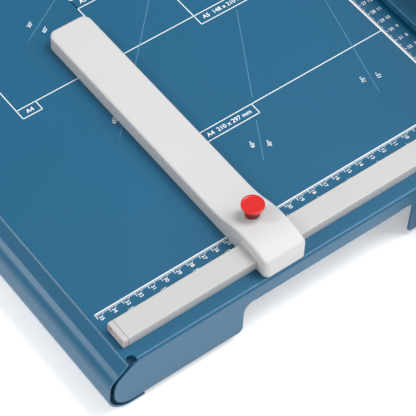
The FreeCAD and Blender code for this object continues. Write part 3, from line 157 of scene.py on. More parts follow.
# %% Finish recipe
DRIFT_SCALE = 14.0
DRIFT_RAMP = (0.3, 0.7)
GLOSS_SPREAD = (0.9, 1.12)


def finish(name, colour, roughness, grain=0.5, depth=0.05, drift=0.06, metal=0.0, coat=0.0,
           stretch=(1, 1, 1), specular=0.5, sheen=0.0, coat_rough=0.08):
    """A material: grain in millimetres, bump depth as a strength, drift as a share of the colour's value."""
    material = bpy.data.materials.new(name)
    material.use_nodes = True
    nodes, links = material.node_tree.nodes, material.node_tree.links
    shader = nodes["Principled BSDF"]
    shader.inputs["Metallic"].default_value = metal
    shader.inputs["Coat Weight"].default_value = coat
    shader.inputs["Coat Roughness"].default_value = coat_rough
    shader.inputs["Specular IOR Level"].default_value = specular
    shader.inputs["Sheen Weight"].default_value = sheen

    where = nodes.new("ShaderNodeTexCoord")
    turn = nodes.new("ShaderNodeMapping")
    turn.inputs["Scale"].default_value = stretch
    links.new(where.outputs["Object"], turn.inputs["Vector"])

    slow = nodes.new("ShaderNodeTexNoise")
    slow.inputs["Scale"].default_value = DRIFT_SCALE
    slow.inputs["Detail"].default_value = 4.0
    links.new(turn.outputs["Vector"], slow.inputs["Vector"])
    tone = nodes.new("ShaderNodeValToRGB")
    tone.color_ramp.elements[0].position = DRIFT_RAMP[0]
    tone.color_ramp.elements[1].position = DRIFT_RAMP[1]
    tone.color_ramp.elements[0].color = [c * (1 - drift) for c in colour] + [1]
    tone.color_ramp.elements[1].color = [min(1, c * (1 + drift)) for c in colour] + [1]
    links.new(slow.outputs["Fac"], tone.inputs["Fac"])
    links.new(tone.outputs["Color"], shader.inputs["Base Color"])

    fine = nodes.new("ShaderNodeTexNoise")
    fine.inputs["Scale"].default_value = 1.0 / (grain * MM)
    fine.inputs["Detail"].default_value = 2.0
    links.new(turn.outputs["Vector"], fine.inputs["Vector"])
    gloss = nodes.new("ShaderNodeMapRange")
    gloss.inputs["To Min"].default_value = roughness * GLOSS_SPREAD[0]
    gloss.inputs["To Max"].default_value = min(1, roughness * GLOSS_SPREAD[1])
    links.new(fine.outputs["Fac"], gloss.inputs["Value"])
    links.new(gloss.outputs["Result"], shader.inputs["Roughness"])
    bump = nodes.new("ShaderNodeBump")
    bump.inputs["Strength"].default_value = depth
    bump.inputs["Distance"].default_value = grain * MM
    links.new(fine.outputs["Fac"], bump.inputs["Height"])
    links.new(bump.outputs["Normal"], shader.inputs["Normal"])
    return material


# %% Finishes of this trimmer
TABLE_BLUE = finish("table blue powder coat", (0.0022, 0.097, 0.196), 0.41, grain=0.7, depth=0.10, drift=0.03,
                    coat=0.15, coat_rough=0.2, specular=0.42)
FENCE_GREY = finish("fence satin grey", (0.50, 0.50, 0.495), 0.38, grain=0.4, depth=0.06, drift=0.02)
CAP_GREY = finish("fence cap plastic", (0.50, 0.475, 0.475), 0.42, grain=0.4, depth=0.06, drift=0.02)
ARM_GREY = finish("backstop plastic", (0.56, 0.56, 0.56), 0.46, grain=0.35, depth=0.12, drift=0.015)
KNOB_RED = finish("knob red gloss", (0.60, 0.006, 0.003), 0.30, grain=1.5, depth=0.02, drift=0.02, coat=0.25)
# The neck's darker red is painted shade: the shade that falls under the knob's cap, painted into its colour.
NECK_RED_PAINTED_SHADE = finish("knob neck red with painted shade", (0.20, 0.004, 0.002), 0.26, grain=1.5, depth=0.02, drift=0.02)
BLOCK_GREY = finish("end block plastic", (0.50, 0.51, 0.52), 0.48, grain=0.45, depth=0.16, drift=0.02)
HEAD_DARK = finish("cutter head charcoal", (0.030, 0.033, 0.038), 0.42, grain=0.45, depth=0.18, drift=0.05)
GUARD_BLACK = finish("blade guard black", (0.018, 0.018, 0.019), 0.35, grain=0.5, depth=0.08)
GRIP_SOFT = finish("soft grip rubber", (0.022, 0.023, 0.025), 0.72, grain=0.6, depth=0.22, sheen=0.15)
FOOT_RUBBER = finish("foot rubber", (0.018, 0.018, 0.018), 0.78, grain=0.5, depth=0.2)
STEEL_GROUND = finish("ground steel", (0.40, 0.41, 0.42), 0.30, grain=0.35, depth=0.05, metal=1.0,
                      stretch=(1, 0.04, 1))
STEEL_ZINC = finish("zinc plated steel", (0.36, 0.37, 0.38), 0.36, grain=0.6, depth=0.05, metal=1.0,
                    drift=0.08)
RAIL_ALU = finish("anodised aluminium", (0.50, 0.51, 0.52), 0.36, grain=0.3, depth=0.05, metal=1.0,
                  stretch=(1, 0.03, 1))
NYLON = finish("natural nylon", (0.74, 0.73, 0.68), 0.5, grain=0.8, depth=0.06)
PRINT_WHITE = finish("ruler print white", (0.86, 0.88, 0.88), 0.55, grain=0.3, depth=0.03, drift=0.02)
PRINT_PALE = finish("fan line print pale blue", (0.10, 0.27, 0.42), 0.5, grain=0.3, depth=0.03, drift=0.02)

FINISH_OF = {
    "table_blue": TABLE_BLUE, "light_grey": FENCE_GREY, "light_grey_cap": CAP_GREY, "arm_plastic": ARM_GREY,
    "knob_red": KNOB_RED, "block_grey": BLOCK_GREY, "head_charcoal": HEAD_DARK, "guard_black": GUARD_BLACK,
    "soft_grip": GRIP_SOFT, "rubber": FOOT_RUBBER, "ground_steel": STEEL_GROUND, "zinc_steel": STEEL_ZINC,
    "rail_aluminium": RAIL_ALU, "nylon": NYLON,
}

# %% [markdown]
# The CAD nodes that stay keep their shape and only get a finish. Each one's material slot in the record
# says which finish it is.

# %% Dress the CAD nodes
slot_of = {part["node"]: part["material_slot"] for part in frame["record"]["subparts"]}
for node_name, node in NODES.items():
    for index in range(len(node.material_slots)):
        node.material_slots[index].material = FINISH_OF[slot_of[node_name]]
print("dressed", len(NODES), "CAD nodes")

# %% [markdown]
# ## The printing
#
# The rulers, format outlines and angle lines are screen printed on the table. Ink is a real layer, so
# each stroke is a very thin closed bar on the sheet. One function makes any number of strokes at once
# from their two ends and widths.

# %% Strokes
INK_LOW, INK_HIGH = -0.02, 0.035


def strokes(name, starts, ends, widths, material):
    """Thin closed bars in millimetres; each corner is a start or an end moved half a width sideways."""
    starts, ends = np.asarray(starts, float), np.asarray(ends, float)
    along = ends - starts
    along /= np.linalg.norm(along, axis=1, keepdims=True)
    side = np.stack([-along[:, 1], along[:, 0]], axis=1) * (np.broadcast_to(widths, len(starts))[:, None] / 2)
    ring = np.stack([starts - side, ends - side, ends + side, starts + side], axis=1)
    low = place(ring[..., 0], ring[..., 1], INK_LOW)
    high = place(ring[..., 0], ring[..., 1], INK_HIGH)
    points = np.concatenate([low, high], axis=1).reshape(-1, 3)
    cube = np.array([[3, 2, 1, 0], [4, 5, 6, 7], [0, 1, 5, 4], [1, 2, 6, 5], [2, 3, 7, 6], [3, 0, 4, 7]])
    faces = (cube[None] + 8 * np.arange(len(starts))[:, None, None]).reshape(-1, 4).tolist()
    return finish_piece(mesh_piece(name, points, faces), "base", None, material)


def ticks(positions, baseline, tips, along_x):
    """Starts and ends of ruler ticks from a baseline to each tip, for a ruler along X or along Y."""
    base = np.full(len(positions), float(baseline))
    pairs = ((positions, base), (positions, tips)) if along_x else ((base, positions), (tips, positions))
    return [np.stack(pair, axis=1) for pair in pairs]


def tick_reach(count, whole, half, small):
    """Reach of every millimetre tick: long at each ten, middling at each five."""
    step = np.arange(count)
    return np.where(step % 10 == 0, whole, np.where(step % 5 == 0, half, small))


# %% [markdown]
# Numbers are Blender text, turned into a mesh and then moved as plain points. Every label of one ruler
# goes into a single piece, so the scene carries a few pieces instead of a hundred.

# %% Lettering
CAPITAL_SHARE = 0.70


def letter_shape(text, height, bold):
    """Points and faces of one word; its capitals are about height millimetres tall, and bold fattens it."""
    curve = bpy.data.curves.new("word", "FONT")
    curve.body = text
    curve.size = height / CAPITAL_SHARE
    curve.extrude = (INK_HIGH - INK_LOW) / 2
    curve.offset = bold
    curve.resolution_u = 3
    word = bpy.data.objects.new("word", curve)
    bpy.context.scene.collection.objects.link(word)
    mesh = bpy.data.meshes.new_from_object(word.evaluated_get(bpy.context.evaluated_depsgraph_get()))
    shape = bmesh.new()
    shape.from_mesh(mesh)
    bmesh.ops.remove_doubles(shape, verts=shape.verts, dist=1e-5)
    shape.verts.index_update()
    points = np.array([v.co for v in shape.verts], float).reshape(-1, 3)
    faces = [[v.index for v in f.verts] for f in shape.faces]
    shape.free()
    bpy.data.objects.remove(word)
    bpy.data.meshes.remove(mesh)
    bpy.data.curves.remove(curve)
    return points, faces


def lettering(name, labels, material):
    """One piece from labels of (text, x, y, height, turn in degrees, bold), each centred on its place."""
    all_points, all_faces, count = [], [], 0
    for text, x, y, height, turn, bold in labels:
        points, faces = letter_shape(text, height, bold)
        middle = (points[:, :2].max(0) + points[:, :2].min(0)) / 2
        flat = points[:, :2] - middle
        c, s = math.cos(math.radians(turn)), math.sin(math.radians(turn))
        turned = flat @ np.array([[c, s], [-s, c]])
        all_points.append(place(x + turned[:, 0], y + turned[:, 1], points[:, 2] + (INK_HIGH + INK_LOW) / 2))
        all_faces += [[i + count for i in face] for face in faces]
        count += len(points)
    return finish_piece(mesh_piece(name, np.concatenate(all_points), all_faces), "base", None, material)


# %% [markdown]
# The front ruler counts centimetres from the cut, and its numbers stand beside the long ticks. Between
# it and the fence runs a second scale in inches.

# %% Front rulers
RULER_START, RULER_END = 30, 350
FRONT_LINE = 13.5
LONG_TICK, FIVE_TICK, SHORT_TICK = 3.6, 2.3, 1.5
BOLD_STROKE, FINE_STROKE = 0.42, 0.34
NUMBER_TALL, NUMBER_BOLD = 2.7, 0.035
READ_OUT = -90
mm_x = -np.arange(RULER_START, RULER_END + 1, dtype=float)
reach = tick_reach(RULER_END + 1, LONG_TICK, FIVE_TICK, SHORT_TICK)[RULER_START:]
starts, ends = ticks(mm_x, FRONT_LINE, FRONT_LINE - reach, True)
widths = np.where(reach == LONG_TICK, BOLD_STROKE, FINE_STROKE)
strokes("front_ruler_ticks", starts, ends, widths, PRINT_WHITE)
line_y = FRONT_LINE + 0.25
strokes("front_ruler_line", [(-RULER_END - 0.2, line_y)], [(-RULER_START, line_y)], 0.75, PRINT_WHITE)
lettering("front_ruler_numbers",
          [(str(n), -10 * n + 2.6, FRONT_LINE - 4.1, NUMBER_TALL, READ_OUT, NUMBER_BOLD)
           for n in range(4, 36)], PRINT_WHITE)
INCH = 25.4
INCH_LOW, INCH_HIGH = 0.5, 5.2
inch_x = -INCH * np.arange(2, 14)
inch_start, inch_end = ticks(inch_x, INCH_LOW, np.full(len(inch_x), INCH_HIGH), True)
strokes("inch_ruler_ticks", inch_start, inch_end, 0.4, PRINT_WHITE)
lettering("inch_ruler_numbers",
          [(str(n), -INCH * n + 2.4, 3.6, NUMBER_TALL, READ_OUT, NUMBER_BOLD)
           for n in range(2, 14)], PRINT_WHITE)

# %% [markdown]
# The side ruler runs beside the clamp bar. It counts from both fences at once, so its two rows of
# numbers always add up to the distance between them.

# %% Side ruler
SIDE_LINE = -48.6
SIDE_FIRST = 2
LEFT_ROW, RIGHT_ROW = -42.9, -37.6
mm_up = np.arange(SIDE_FIRST, GAP - 1)
reach = tick_reach(len(mm_up) + SIDE_FIRST, 3.0, 2.0, 1.2)[SIDE_FIRST:]
starts, ends = ticks(mm_up, SIDE_LINE, SIDE_LINE + reach, False)
strokes("side_ruler_ticks", starts, ends, FINE_STROKE, PRINT_WHITE)
strokes("side_ruler_line", [(SIDE_LINE - 0.6, 1)], [(SIDE_LINE - 0.6, GAP - 1)], 1.1, PRINT_WHITE)
total = round(GAP / 10)
side_labels = [(str(n), LEFT_ROW, GAP - 10 * n, NUMBER_TALL, 0, NUMBER_BOLD) for n in range(1, total)]
side_labels += [(str(total - n), RIGHT_ROW, GAP - 10 * n, NUMBER_TALL, 0, NUMBER_BOLD)
                for n in range(1, total)]
lettering("side_ruler_numbers", side_labels, PRINT_WHITE)

# %% [markdown]
# Sheets are laid against the back fence and the cut, so each paper outline needs only its far sides. A
# small box with the format's name hangs from a corner of each. Places are millimetres from the cut and
# from the front fence.

# %% Format outlines
LINE = 0.66
LONG, MIDDLE, SHORT = -297, -210, -148
WIDE_A4, TALL_A4, WIDE_A5 = 180, 93, 242
RIGHT_END = -50
BACK_END = GAP - 2
outlines = [
    ((LONG, WIDE_A4), (RIGHT_END, WIDE_A4)), ((MIDDLE, TALL_A4), (RIGHT_END, TALL_A4)),
    ((LONG, WIDE_A4), (LONG, BACK_END)), ((MIDDLE, TALL_A4), (MIDDLE, BACK_END)),
    ((SHORT, WIDE_A4), (SHORT, BACK_END)), ((MIDDLE, WIDE_A5), (SHORT, WIDE_A5)),
]
NAME_BOX = (45.5, 9.3)
boxes = [(LONG, WIDE_A4, 15.5, 8.3), (SHORT, WIDE_A4) + NAME_BOX, (MIDDLE, TALL_A4) + NAME_BOX,
         (MIDDLE, WIDE_A5) + NAME_BOX]
for x, y, wide, tall in boxes:
    corners = [(x, y), (x, y - tall), (x + wide, y - tall), (x + wide, y)]
    outlines += list(zip(corners[:-1], corners[1:]))
strokes("format_outlines", [a for a, _ in outlines], [b for _, b in outlines], LINE, PRINT_WHITE)
NAME_TALL, NAME_BOLD = 3.4, 0.07
NAME_IN = 22.9
names = [("A4", LONG + 8, WIDE_A4 - 4.1), ("A5  148 x 210 mm", SHORT + NAME_IN, WIDE_A4 - 4.5),
         ("A4  210 x 297 mm", MIDDLE + NAME_IN, TALL_A4 - 4.6),
         ("A5  210 x 148 mm", MIDDLE + NAME_IN, WIDE_A5 - 4.6)]
lettering("format_names", [name + (NAME_TALL, 0, NAME_BOLD) for name in names], PRINT_WHITE)

# %% [markdown]
# The angle lines fan out from one place on the cut, a little in front of the back fence, and start some
# way from it. Each line's length is the distance to the end listed for it. The line at 30 degrees breaks
# for two name boxes, between the distances from the front fence given for it. Two figures stand beside
# each end.

# %% Angle fan
FAN_Y = GAP - 15
FAN_END = {15: (-87.8, 51.0), 30: (-188.0, 50.0), 45: (-254.0, 121.0), 60: (-254.6, 227.6)}
BREAKS = {30: ((97, 80), (184, 167))}
FAN_START = 60
FIGURE_BACK, FIGURE_ASIDE = 14, 5.8
fan_start, fan_stop, fan_labels = [], [], []
for angle, stop in FAN_END.items():
    away = np.array([-math.sin(math.radians(angle)), -math.cos(math.radians(angle))])
    length = math.hypot(stop[0], stop[1] - FAN_Y)
    cuts = [FAN_START, length]
    for upper, lower in BREAKS.get(angle, ()):
        cuts += [(FAN_Y - upper) / -away[1], (FAN_Y - lower) / -away[1]]
    cuts = sorted(cuts)
    for near, far in zip(cuts[::2], cuts[1::2]):
        fan_start.append(away * near + (0, FAN_Y))
        fan_stop.append(away * far + (0, FAN_Y))
    side = np.array([-away[1], away[0]])
    beside = away * (length - FIGURE_BACK) + (0, FAN_Y)
    for text, sign in ((90 - angle, -1), (angle, 1)):
        x, y = beside + side * FIGURE_ASIDE * sign
        fan_labels.append(("%d°" % text, x, y, 2.9, 90 - angle, 0.04))
strokes("angle_lines", fan_start, fan_stop, 0.4, PRINT_PALE)
lettering("angle_numbers", fan_labels, PRINT_WHITE)

# %% [markdown]
# ## The backstop arm
#
# The arm is a moulding with a soft rim that swells into a head over the fence. A person could model it
# by pushing a subdivided box about, but its side view and its plan are simple curves. So we carry a
# rounded section along the arm, and let the curves give each station its width, top and underside.

# %% Arm curves
arm_low, arm_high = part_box("backstop_arm")
ARM_X = ((arm_low.x + arm_high.x) / 2 - CUT) / MM
ARM_HALF = (arm_high.x - arm_low.x) / MM / 2
NOSE = (arm_low.y - FRONT) / MM
TAIL = (arm_high.y - FRONT) / MM
ARM_UNDER = (arm_low.z - TABLE) / MM
CROWN = (arm_high.z - TABLE) / MM
ARM_FLAT, CROWN_Y, CROWN_R = 12.0, -4.5, 60.0
FENCE_WIDE = (fence_high.y - fence_low.y) / MM
FENCE_TALL = (fence_high.z - TABLE) / MM


def arm_top(y):
    """Height of the side view: a flat arm, and two arcs of one radius that meet halfway up the head."""
    sweep_z, crown_z = ARM_FLAT + CROWN_R, CROWN - CROWN_R
    reach = math.sqrt((2 * CROWN_R) ** 2 - (sweep_z - crown_z) ** 2)
    crown = crown_z + np.sqrt(np.maximum(CROWN_R ** 2 - (y - CROWN_Y) ** 2, 0))
    sweep = sweep_z - np.sqrt(np.maximum(CROWN_R ** 2 - (CROWN_Y + reach - y) ** 2, 0))
    return np.where(y < CROWN_Y + reach / 2, crown, np.where(y < CROWN_Y + reach, sweep, ARM_FLAT))


def corner_drop(distance, radius):
    """How far a quarter circle has fallen back from its tangent, at a distance from the end it rounds."""
    inside = np.clip(radius - distance, 0, radius)
    return radius - np.sqrt(np.maximum(radius ** 2 - inside ** 2, 0))


def eased(start, stop, count):
    """Stations packed towards the start, where a rounding needs them."""
    return start + (stop - start) * (1 - np.cos(np.linspace(0, math.pi / 2, count)))


# %% Arm moulding
def arm_section(y, low, half, top, rim, count=10):
    """One station: up the left side, a quarter round, across the top, down again and back underneath."""
    rim = np.minimum(rim, np.minimum(half, top - low) * 0.9)
    bend = np.linspace(0, math.pi / 2, count)
    x_left = -half + rim - rim * np.cos(bend)
    z_arc = top - rim + rim * np.sin(bend)
    wall = low + (z_arc[0] - low) * np.array([0.0, 0.06, 0.5])
    cross = np.linspace(x_left[-1], -x_left[-1], 8)[1:-1]
    x = np.concatenate([[-half] * 3, x_left, cross, -x_left[::-1], [half] * 3])
    z = np.concatenate([wall, z_arc, np.full(6, top), z_arc[::-1], wall[::-1]])
    return place(ARM_X + x, y, z)


NOSE_PLAN, NOSE_SIDE, TAIL_PLAN, TAIL_SIDE, RIM = 4.0, 2.6, 7.0, 2.4, 1.9
SADDLE_ROOM = 0.3
saddle = (-FENCE_WIDE - SADDLE_ROOM, SADDLE_ROOM)
y_stations = np.concatenate([
    eased(NOSE, NOSE + NOSE_PLAN, 18),
    [saddle[0] - 0.05, saddle[0]], np.linspace(saddle[0] + 1.5, saddle[1] - 1.5, 12),
    [saddle[1], saddle[1] + 0.05],
    np.linspace(2, 60, 34), np.linspace(66, TAIL - TAIL_PLAN - 1, 20),
    eased(TAIL, TAIL - TAIL_PLAN, 12)[::-1]])
sections = []
for y in y_stations:
    half = ARM_HALF - corner_drop(y - NOSE, NOSE_PLAN) - corner_drop(TAIL - y, TAIL_PLAN)
    top = arm_top(y) - corner_drop(y - NOSE, NOSE_SIDE) - corner_drop(TAIL - y, TAIL_SIDE)
    under = FENCE_TALL + SADDLE_ROOM if saddle[0] <= y <= saddle[1] else ARM_UNDER
    sections.append(arm_section(y, under, half, top, RIM))
arm = tube_piece("backstop_moulding", np.array(sections), smooth=40)
finish_piece(arm, "backstop", "arm_plastic", ARM_GREY, "backstop_arm")

# %% [markdown]
# ## Turned pieces
#
# The red knob is a turned shape. A flat cap with a dished top and a slimmer neck are each one profile
# spun about the spindle. The neck's darker red is painted shade, the shade that falls under the cap.
# A profile is a list of radii and heights, and small arcs round its corners. It starts and ends a hair
# off its axis, where a flat face closes it.

# %% Spinning a profile
def rounded_profile(corners, steps=6):
    """Points of a profile whose corners (radius, height, rounding) are replaced by tangent arcs."""
    points = []
    for index, (r, h, soft) in enumerate(corners):
        here = np.array([r, h], float)
        if soft == 0 or index in (0, len(corners) - 1):
            points.append(here)
            continue
        before = np.array(corners[index - 1][:2], float) - here
        after = np.array(corners[index + 1][:2], float) - here
        before, after = before / np.linalg.norm(before), after / np.linalg.norm(after)
        half = math.acos(np.clip(before @ after, -1, 1)) / 2
        middle = here + (before + after) / np.linalg.norm(before + after) * soft / math.sin(half)
        a = here + before * soft / math.tan(half) - middle
        b = here + after * soft / math.tan(half) - middle
        sweep = math.pi - 2 * half
        for t in np.linspace(0, 1, steps):
            mixed = a * math.sin((1 - t) * sweep) + b * math.sin(t * sweep)
            points.append(middle + mixed / math.sin(sweep))
    return np.array(points)


def spun(name, corners, centre, axis="Z", around=64, smooth=35):
    """A closed turned piece; centre is its axis in millimetres and corners run from end to end."""
    profile = rounded_profile(corners)
    turn = np.linspace(0, 2 * math.pi, around, endpoint=False)
    r, h = profile[:, :1], profile[:, 1:]
    a, b, c = r * np.cos(turn), r * np.sin(turn), np.broadcast_to(h, (len(profile), around))
    x, y, z = (a, b, c) if axis == "Z" else (c, a, b)
    return tube_piece(name, place(centre[0] + x, centre[1] + y, centre[2] + z), smooth)


# %% Knob
knob_low, knob_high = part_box("backstop_knob")
KNOB_Y = ((knob_low.y + knob_high.y) / 2 - FRONT) / MM
KNOB_TOP = (knob_high.z - TABLE) / MM
KNOB_R = (knob_high.x - knob_low.x) / MM / 2
POLE = 0.05
CAP_FOOT = KNOB_TOP - 1.9
DISH = KNOB_TOP - 0.25
NECK_FOOT, NECK_R = 14.2, 5.4
NECK_TOP = KNOB_TOP - 1.95
knob = spun("clamp_knob", [
    (POLE, CAP_FOOT, 0), (KNOB_R - 0.5, CAP_FOOT, 0.2), (KNOB_R, KNOB_TOP - 1.4, 0.3),
    (KNOB_R, KNOB_TOP - 0.1, 0.45), (KNOB_R - 1.1, KNOB_TOP, 0.3), (KNOB_R - 1.6, DISH, 0.2),
    (POLE, DISH, 0)], (ARM_X, KNOB_Y, 0))
finish_piece(knob, "knob", "knob_red", KNOB_RED, "backstop_knob")
neck = spun("clamp_knob_neck", [
    (POLE, NECK_FOOT, 0), (NECK_R - 0.1, NECK_FOOT, 0.3), (NECK_R - 0.4, KNOB_TOP - 6.5, 0.8),
    (NECK_R - 0.2, KNOB_TOP - 5.2, 0.6), (KNOB_R - 0.8, NECK_TOP, 0),
    (POLE, NECK_TOP, 0)], (ARM_X, KNOB_Y, 0))
# The darker red on the neck is painted shade under the cap.
finish_piece(neck, "knob", "knob_red", NECK_RED_PAINTED_SHADE)

# %% [markdown]
# ## The grip on the cutter head
#
# The hand rests on a soft pad with ribs across it. Its plan and its side view are superellipses, which
# are fuller than an ellipse and softer than a box. The upper halves of a cosine along the pad make the
# ribs. The pad's size is the CAD piece's, and the ribs are a guess.

# %% Ribbed grip
RIB_RISE, RIBS_END = 0.5, 0.8


def grip_pad(waves=7, stations=120, around=48):
    """Sections along the pad: half width and height follow |u|^p + |v|^p = 1, and waves lift ribs."""
    low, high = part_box("head_grip")
    t = np.sin(np.linspace(-math.pi / 2, math.pi / 2, stations))[:, None]
    turn = np.linspace(0, 2 * math.pi, around, endpoint=False)[None, :]
    plan = np.maximum(1 - np.abs(t) ** 5, 1e-4) ** (1 / 5)
    side = np.maximum(1 - np.abs(t) ** 3.2, 1e-4) ** (1 / 3.2)
    rib = RIB_RISE * MM * np.clip(np.cos(t * math.pi * waves), 0, 1) * (np.abs(t) < RIBS_END)
    c, s = np.cos(turn), np.sin(turn)
    across = np.sign(c) * np.abs(c) ** 0.45
    up = np.where(s > 0, np.abs(s) ** 0.6, 0)
    x = (low.x + high.x) / 2 + plan * across * ((high.x - low.x) / 2 - RIB_RISE * MM)
    y = (low.y + high.y) / 2 + (t + 0 * turn) * (high.y - low.y) / 2
    z = low.z + side * up * (high.z - low.z - RIB_RISE * MM) + rib * np.clip(s * 2, 0, 1)
    piece = tube_piece("ribbed_grip", np.stack([x, y, z], axis=-1), smooth=60)
    return finish_piece(piece, "cutter_head", "soft_grip", GRIP_SOFT, "head_grip")


grip_pad()

# %% [markdown]
# Round the hub cap sits a low bezel, turned like the knob but about the blade's axle. The CAD model has
# none, and its shape is a guess.

# %% Hub bezel
cap_low, cap_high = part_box("hub_cap")
_, shell_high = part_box("head_right_shell")
HUB_Y = ((cap_low.y + cap_high.y) / 2 - FRONT) / MM
HUB_Z = ((cap_low.z + cap_high.z) / 2 - TABLE) / MM
COVER = (shell_high.x - CUT) / MM
BEZEL_FOOT, BEZEL_DISH = COVER - 0.1, COVER + 0.5
bezel = spun("hub_bezel", [
    (POLE, BEZEL_FOOT, 0), (15.0, BEZEL_FOOT, 0.2), (14.2, COVER + 1.0, 0.5),
    (10.4, COVER + 1.3, 0.3), (9.8, BEZEL_DISH, 0.2), (POLE, BEZEL_DISH, 0)],
    (0, HUB_Y, HUB_Z), axis="X")
finish_piece(bezel, "cutter_head", "guard_black", GUARD_BLACK)

# %% [markdown]
# ## Clamp springs
#
# Two springs hold the clamp bar up. They stand on the table, so they ride on the base instead of moving
# with the bar. In the real trimmer they flatten as the bar comes down; here each keeps one height. Each one
# is a helix with its section carried along.


def clamp_springs(wire=0.7, turns=4, stations=160, around=10):
    """The wire's middle is (R cos a, R sin a, rise a); its round section stands square to the wire."""
    low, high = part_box("clamp_springs")
    thick = wire * MM / 2
    outer = (high.x - low.x) / 2
    middle = outer - thick
    angle = np.linspace(0, 2 * math.pi * turns, stations)[:, None]
    turn = np.linspace(0, 2 * math.pi, around, endpoint=False)[None, :]
    tall = high.z - low.z - 2 * thick
    lean = math.atan2(tall, middle * 2 * math.pi * turns)
    side = thick * np.cos(turn)
    over = thick * np.sin(turn)
    pieces = []
    for centre_y in (low.y + outer, high.y - outer):
        x = (low.x + high.x) / 2 + (middle + side) * np.cos(angle) + over * math.sin(lean) * np.sin(angle)
        y = centre_y + (middle + side) * np.sin(angle) - over * math.sin(lean) * np.cos(angle)
        z = low.z + thick + tall * angle / angle[-1] + over * math.cos(lean)
        where = "front" if centre_y < 0 else "back"
        piece = tube_piece(where + "_clamp_spring", np.stack([x, y, z + 0 * x], axis=-1))
        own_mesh(piece)
        pieces.append(piece)
    finish_piece(pieces[0], "base", "zinc_steel", STEEL_ZINC, "clamp_springs")
    finish_piece(pieces[1], "base", "zinc_steel", STEEL_ZINC)


clamp_springs()

# %% [markdown]
# ## Small parts at the front edge
#
# Each fence ends in a moulded cap. It is a closed block with a sunk panel in its outer face, and a small
# step where it meets the rail, so a seam shows. A box with an inset and a bevel makes it.

# %% Fence caps
SEAM = 0.12 * MM
PANEL_RIM, PANEL_SLOPE, PANEL_SUNK = 1.3 * MM, 0.1 * MM, 2.0 * MM
CAP_EDGE = 0.45 * MM


def fence_cap(name, node_name, outward_sign):
    """A block as large as its node, bevelled all round, with a panel sunk into its outer face."""
    low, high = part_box(node_name)
    shape = bmesh.new()
    bmesh.ops.create_cube(shape, size=1.0)
    size = Vector((high.x - low.x - SEAM, high.y - low.y, high.z - low.z))
    middle = (low + high) / 2 + Vector((outward_sign * SEAM / 2, 0, 0))
    for vertex in shape.verts:
        vertex.co = Vector(a * b for a, b in zip(vertex.co, size)) + middle
    face = max(shape.faces, key=lambda f: f.normal.x * outward_sign)
    bmesh.ops.inset_individual(shape, faces=[face], thickness=PANEL_RIM)
    bmesh.ops.inset_individual(shape, faces=[face], thickness=PANEL_SLOPE, depth=-PANEL_SUNK)
    bmesh.ops.recalc_face_normals(shape, faces=shape.faces)
    mesh = bpy.data.meshes.new(name)
    shape.to_mesh(mesh)
    shape.free()
    piece = bpy.data.objects.new(name, mesh)
    bpy.context.scene.collection.objects.link(piece)
    edges = piece.modifiers.new("soft edges", "BEVEL")
    edges.width = CAP_EDGE
    edges.segments = 3
    edges.limit_method = "ANGLE"
    mesh.shade_smooth()
    mesh.set_sharp_from_angle(angle=math.radians(60))
    return finish_piece(piece, "base", "light_grey_cap", CAP_GREY, node_name)


for side in ("front", "back"):
    for end, sign in (("left", -1), ("right", 1)):
        fence_cap("%s_%s_end_cap" % (side, end), "%s_fence_%s_cap" % (side, end), sign)

# %% [markdown]
# Behind each corner relief of the sheet a small tab closes the hole, so the floor does not show through
# it. The tab is a guess that the CAD model does not have. It leans down towards the rolled edge.

# %% Corner tabs
TAB_LEFT, TAB_RIGHT, TAB_LONG = -358.0, -346.2, 7.5
TAB_SHEET, TAB_LEAN = 1.2, 3.6
TAB_FOOT, TAB_RISE = -5.4, 2.6


def corner_tab(name, direction, start_y):
    """A thin tab that rises along a quarter sine, from beside the apron to under the table sheet."""
    step = np.linspace(0, 1, 8)[:, None]
    wide = np.array([TAB_LEFT, TAB_RIGHT, TAB_RIGHT, TAB_LEFT])
    thick = np.array([-TAB_LEAN, 0.0, -TAB_SHEET, -TAB_LEAN - TAB_SHEET])
    rise = TAB_FOOT + TAB_RISE * np.sin(step * math.pi / 2)
    y = start_y + direction * TAB_LONG * step + 0 * wide
    piece = tube_piece(name, place(wide + 0 * step, y, rise + thick))
    return finish_piece(piece, "base", "table_blue", TABLE_BLUE)


APRON_OUTER, TABLE_SHEET, TAB_ROOM = 29, 1.5, 0.1
TAB_START = APRON_OUTER - TABLE_SHEET - TAB_ROOM
corner_tab("front_corner_tab", 1, -TAB_START)
corner_tab("back_corner_tab", -1, GAP + TAB_START)

# %% [markdown]
# ## Floor, light and camera
#
# A pale floor, an even white sky and four soft lamps stand in for a small product studio. The strongest
# lamp hangs high on the right, so the arm throws a soft shade to its left. The others fill in from the
# right, from the left behind and from low in front. The floor glows a little, which keeps it white.

# %% Studio
FLOOR_HALF, FLOOR_GLOW, SKY = 6.0, 0.35, 0.42


def studio_floor():
    """One large white sheet under the feet."""
    corners = [(x * FLOOR_HALF, y * FLOOR_HALF, 0) for x, y in ((-1, -1), (1, -1), (1, 1), (-1, 1))]
    floor = mesh_piece("studio_floor", corners, [(0, 1, 2, 3)])
    floor.data.materials.append(finish("studio floor", (0.93, 0.93, 0.93), 0.9, grain=20, depth=0.0,
                                       drift=0.0, specular=0.0))
    shader = floor.data.materials[0].node_tree.nodes["Principled BSDF"]
    shader.inputs["Emission Color"].default_value = (1, 1, 1, 1)
    shader.inputs["Emission Strength"].default_value = FLOOR_GLOW
    return floor


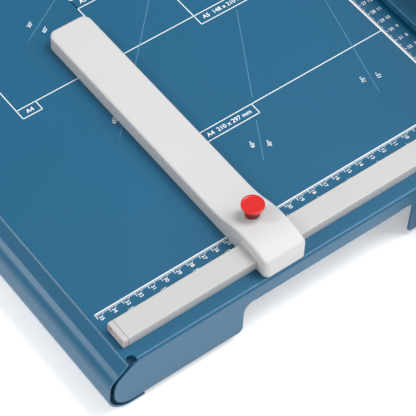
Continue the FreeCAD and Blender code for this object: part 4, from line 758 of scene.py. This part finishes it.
def soft_lamp(name, azimuth, elevation, distance, size, power):
    """A square area lamp aimed at the front half of the table; azimuth turns from +Y towards +X."""
    target = Vector((-0.05, -0.1, TABLE))
    a, e = math.radians(azimuth), math.radians(elevation)
    away = Vector((math.sin(a) * math.cos(e), math.cos(a) * math.cos(e), math.sin(e)))
    data = bpy.data.lights.new(name, "AREA")
    data.shape = "SQUARE"
    data.size = size
    data.energy = power
    lamp = bpy.data.objects.new(name, data)
    bpy.context.scene.collection.objects.link(lamp)
    aim = away.to_track_quat("Z", "Y").to_matrix().to_4x4()
    lamp.matrix_world = Matrix.Translation(target + away * distance) @ aim
    return lamp


studio_floor()
soft_lamp("top_lamp", 108, 67, 2.4, 1.1, 36)
soft_lamp("right_lamp", 122, 40, 2.4, 1.0, 16)
soft_lamp("left_lamp", -54, 38, 2.2, 0.5, 15)
soft_lamp("front_lamp", 205, 20, 2.6, 1.6, 9)
world = bpy.data.worlds.new("studio")
world.use_nodes = True
world.node_tree.nodes["Background"].inputs["Color"].default_value = (1, 1, 1, 1)
world.node_tree.nodes["Background"].inputs["Strength"].default_value = SKY
bpy.context.scene.world = world
bpy.context.scene.view_settings.view_transform = "Standard"


# %% Camera
def camera_at(aim, azimuth, elevation, roll, distance, lens):
    """A camera that looks at a point; azimuth 0 looks along +Y, and roll turns the picture."""
    a, e, r = (math.radians(v) for v in (azimuth, elevation, roll))
    forward = Vector((math.sin(a) * math.cos(e), math.cos(a) * math.cos(e), -math.sin(e)))
    level = forward.cross(Vector((0, 0, 1))).normalized()
    upright = level.cross(forward)
    right = level * math.cos(r) + upright * math.sin(r)
    up = upright * math.cos(r) - level * math.sin(r)
    data = bpy.data.cameras.new("product_camera")
    data.lens = lens
    camera = bpy.data.objects.new("product_camera", data)
    bpy.context.scene.collection.objects.link(camera)
    turn = Matrix((right, up, -forward)).transposed().to_4x4()
    camera.matrix_world = Matrix.Translation(Vector(aim) - forward * distance) @ turn
    bpy.context.scene.camera = camera


camera_at(aim=(-0.07484, -0.15550, 0.048), azimuth=39.29, elevation=52.62, roll=2.77, distance=1.3534,
          lens=180.07)
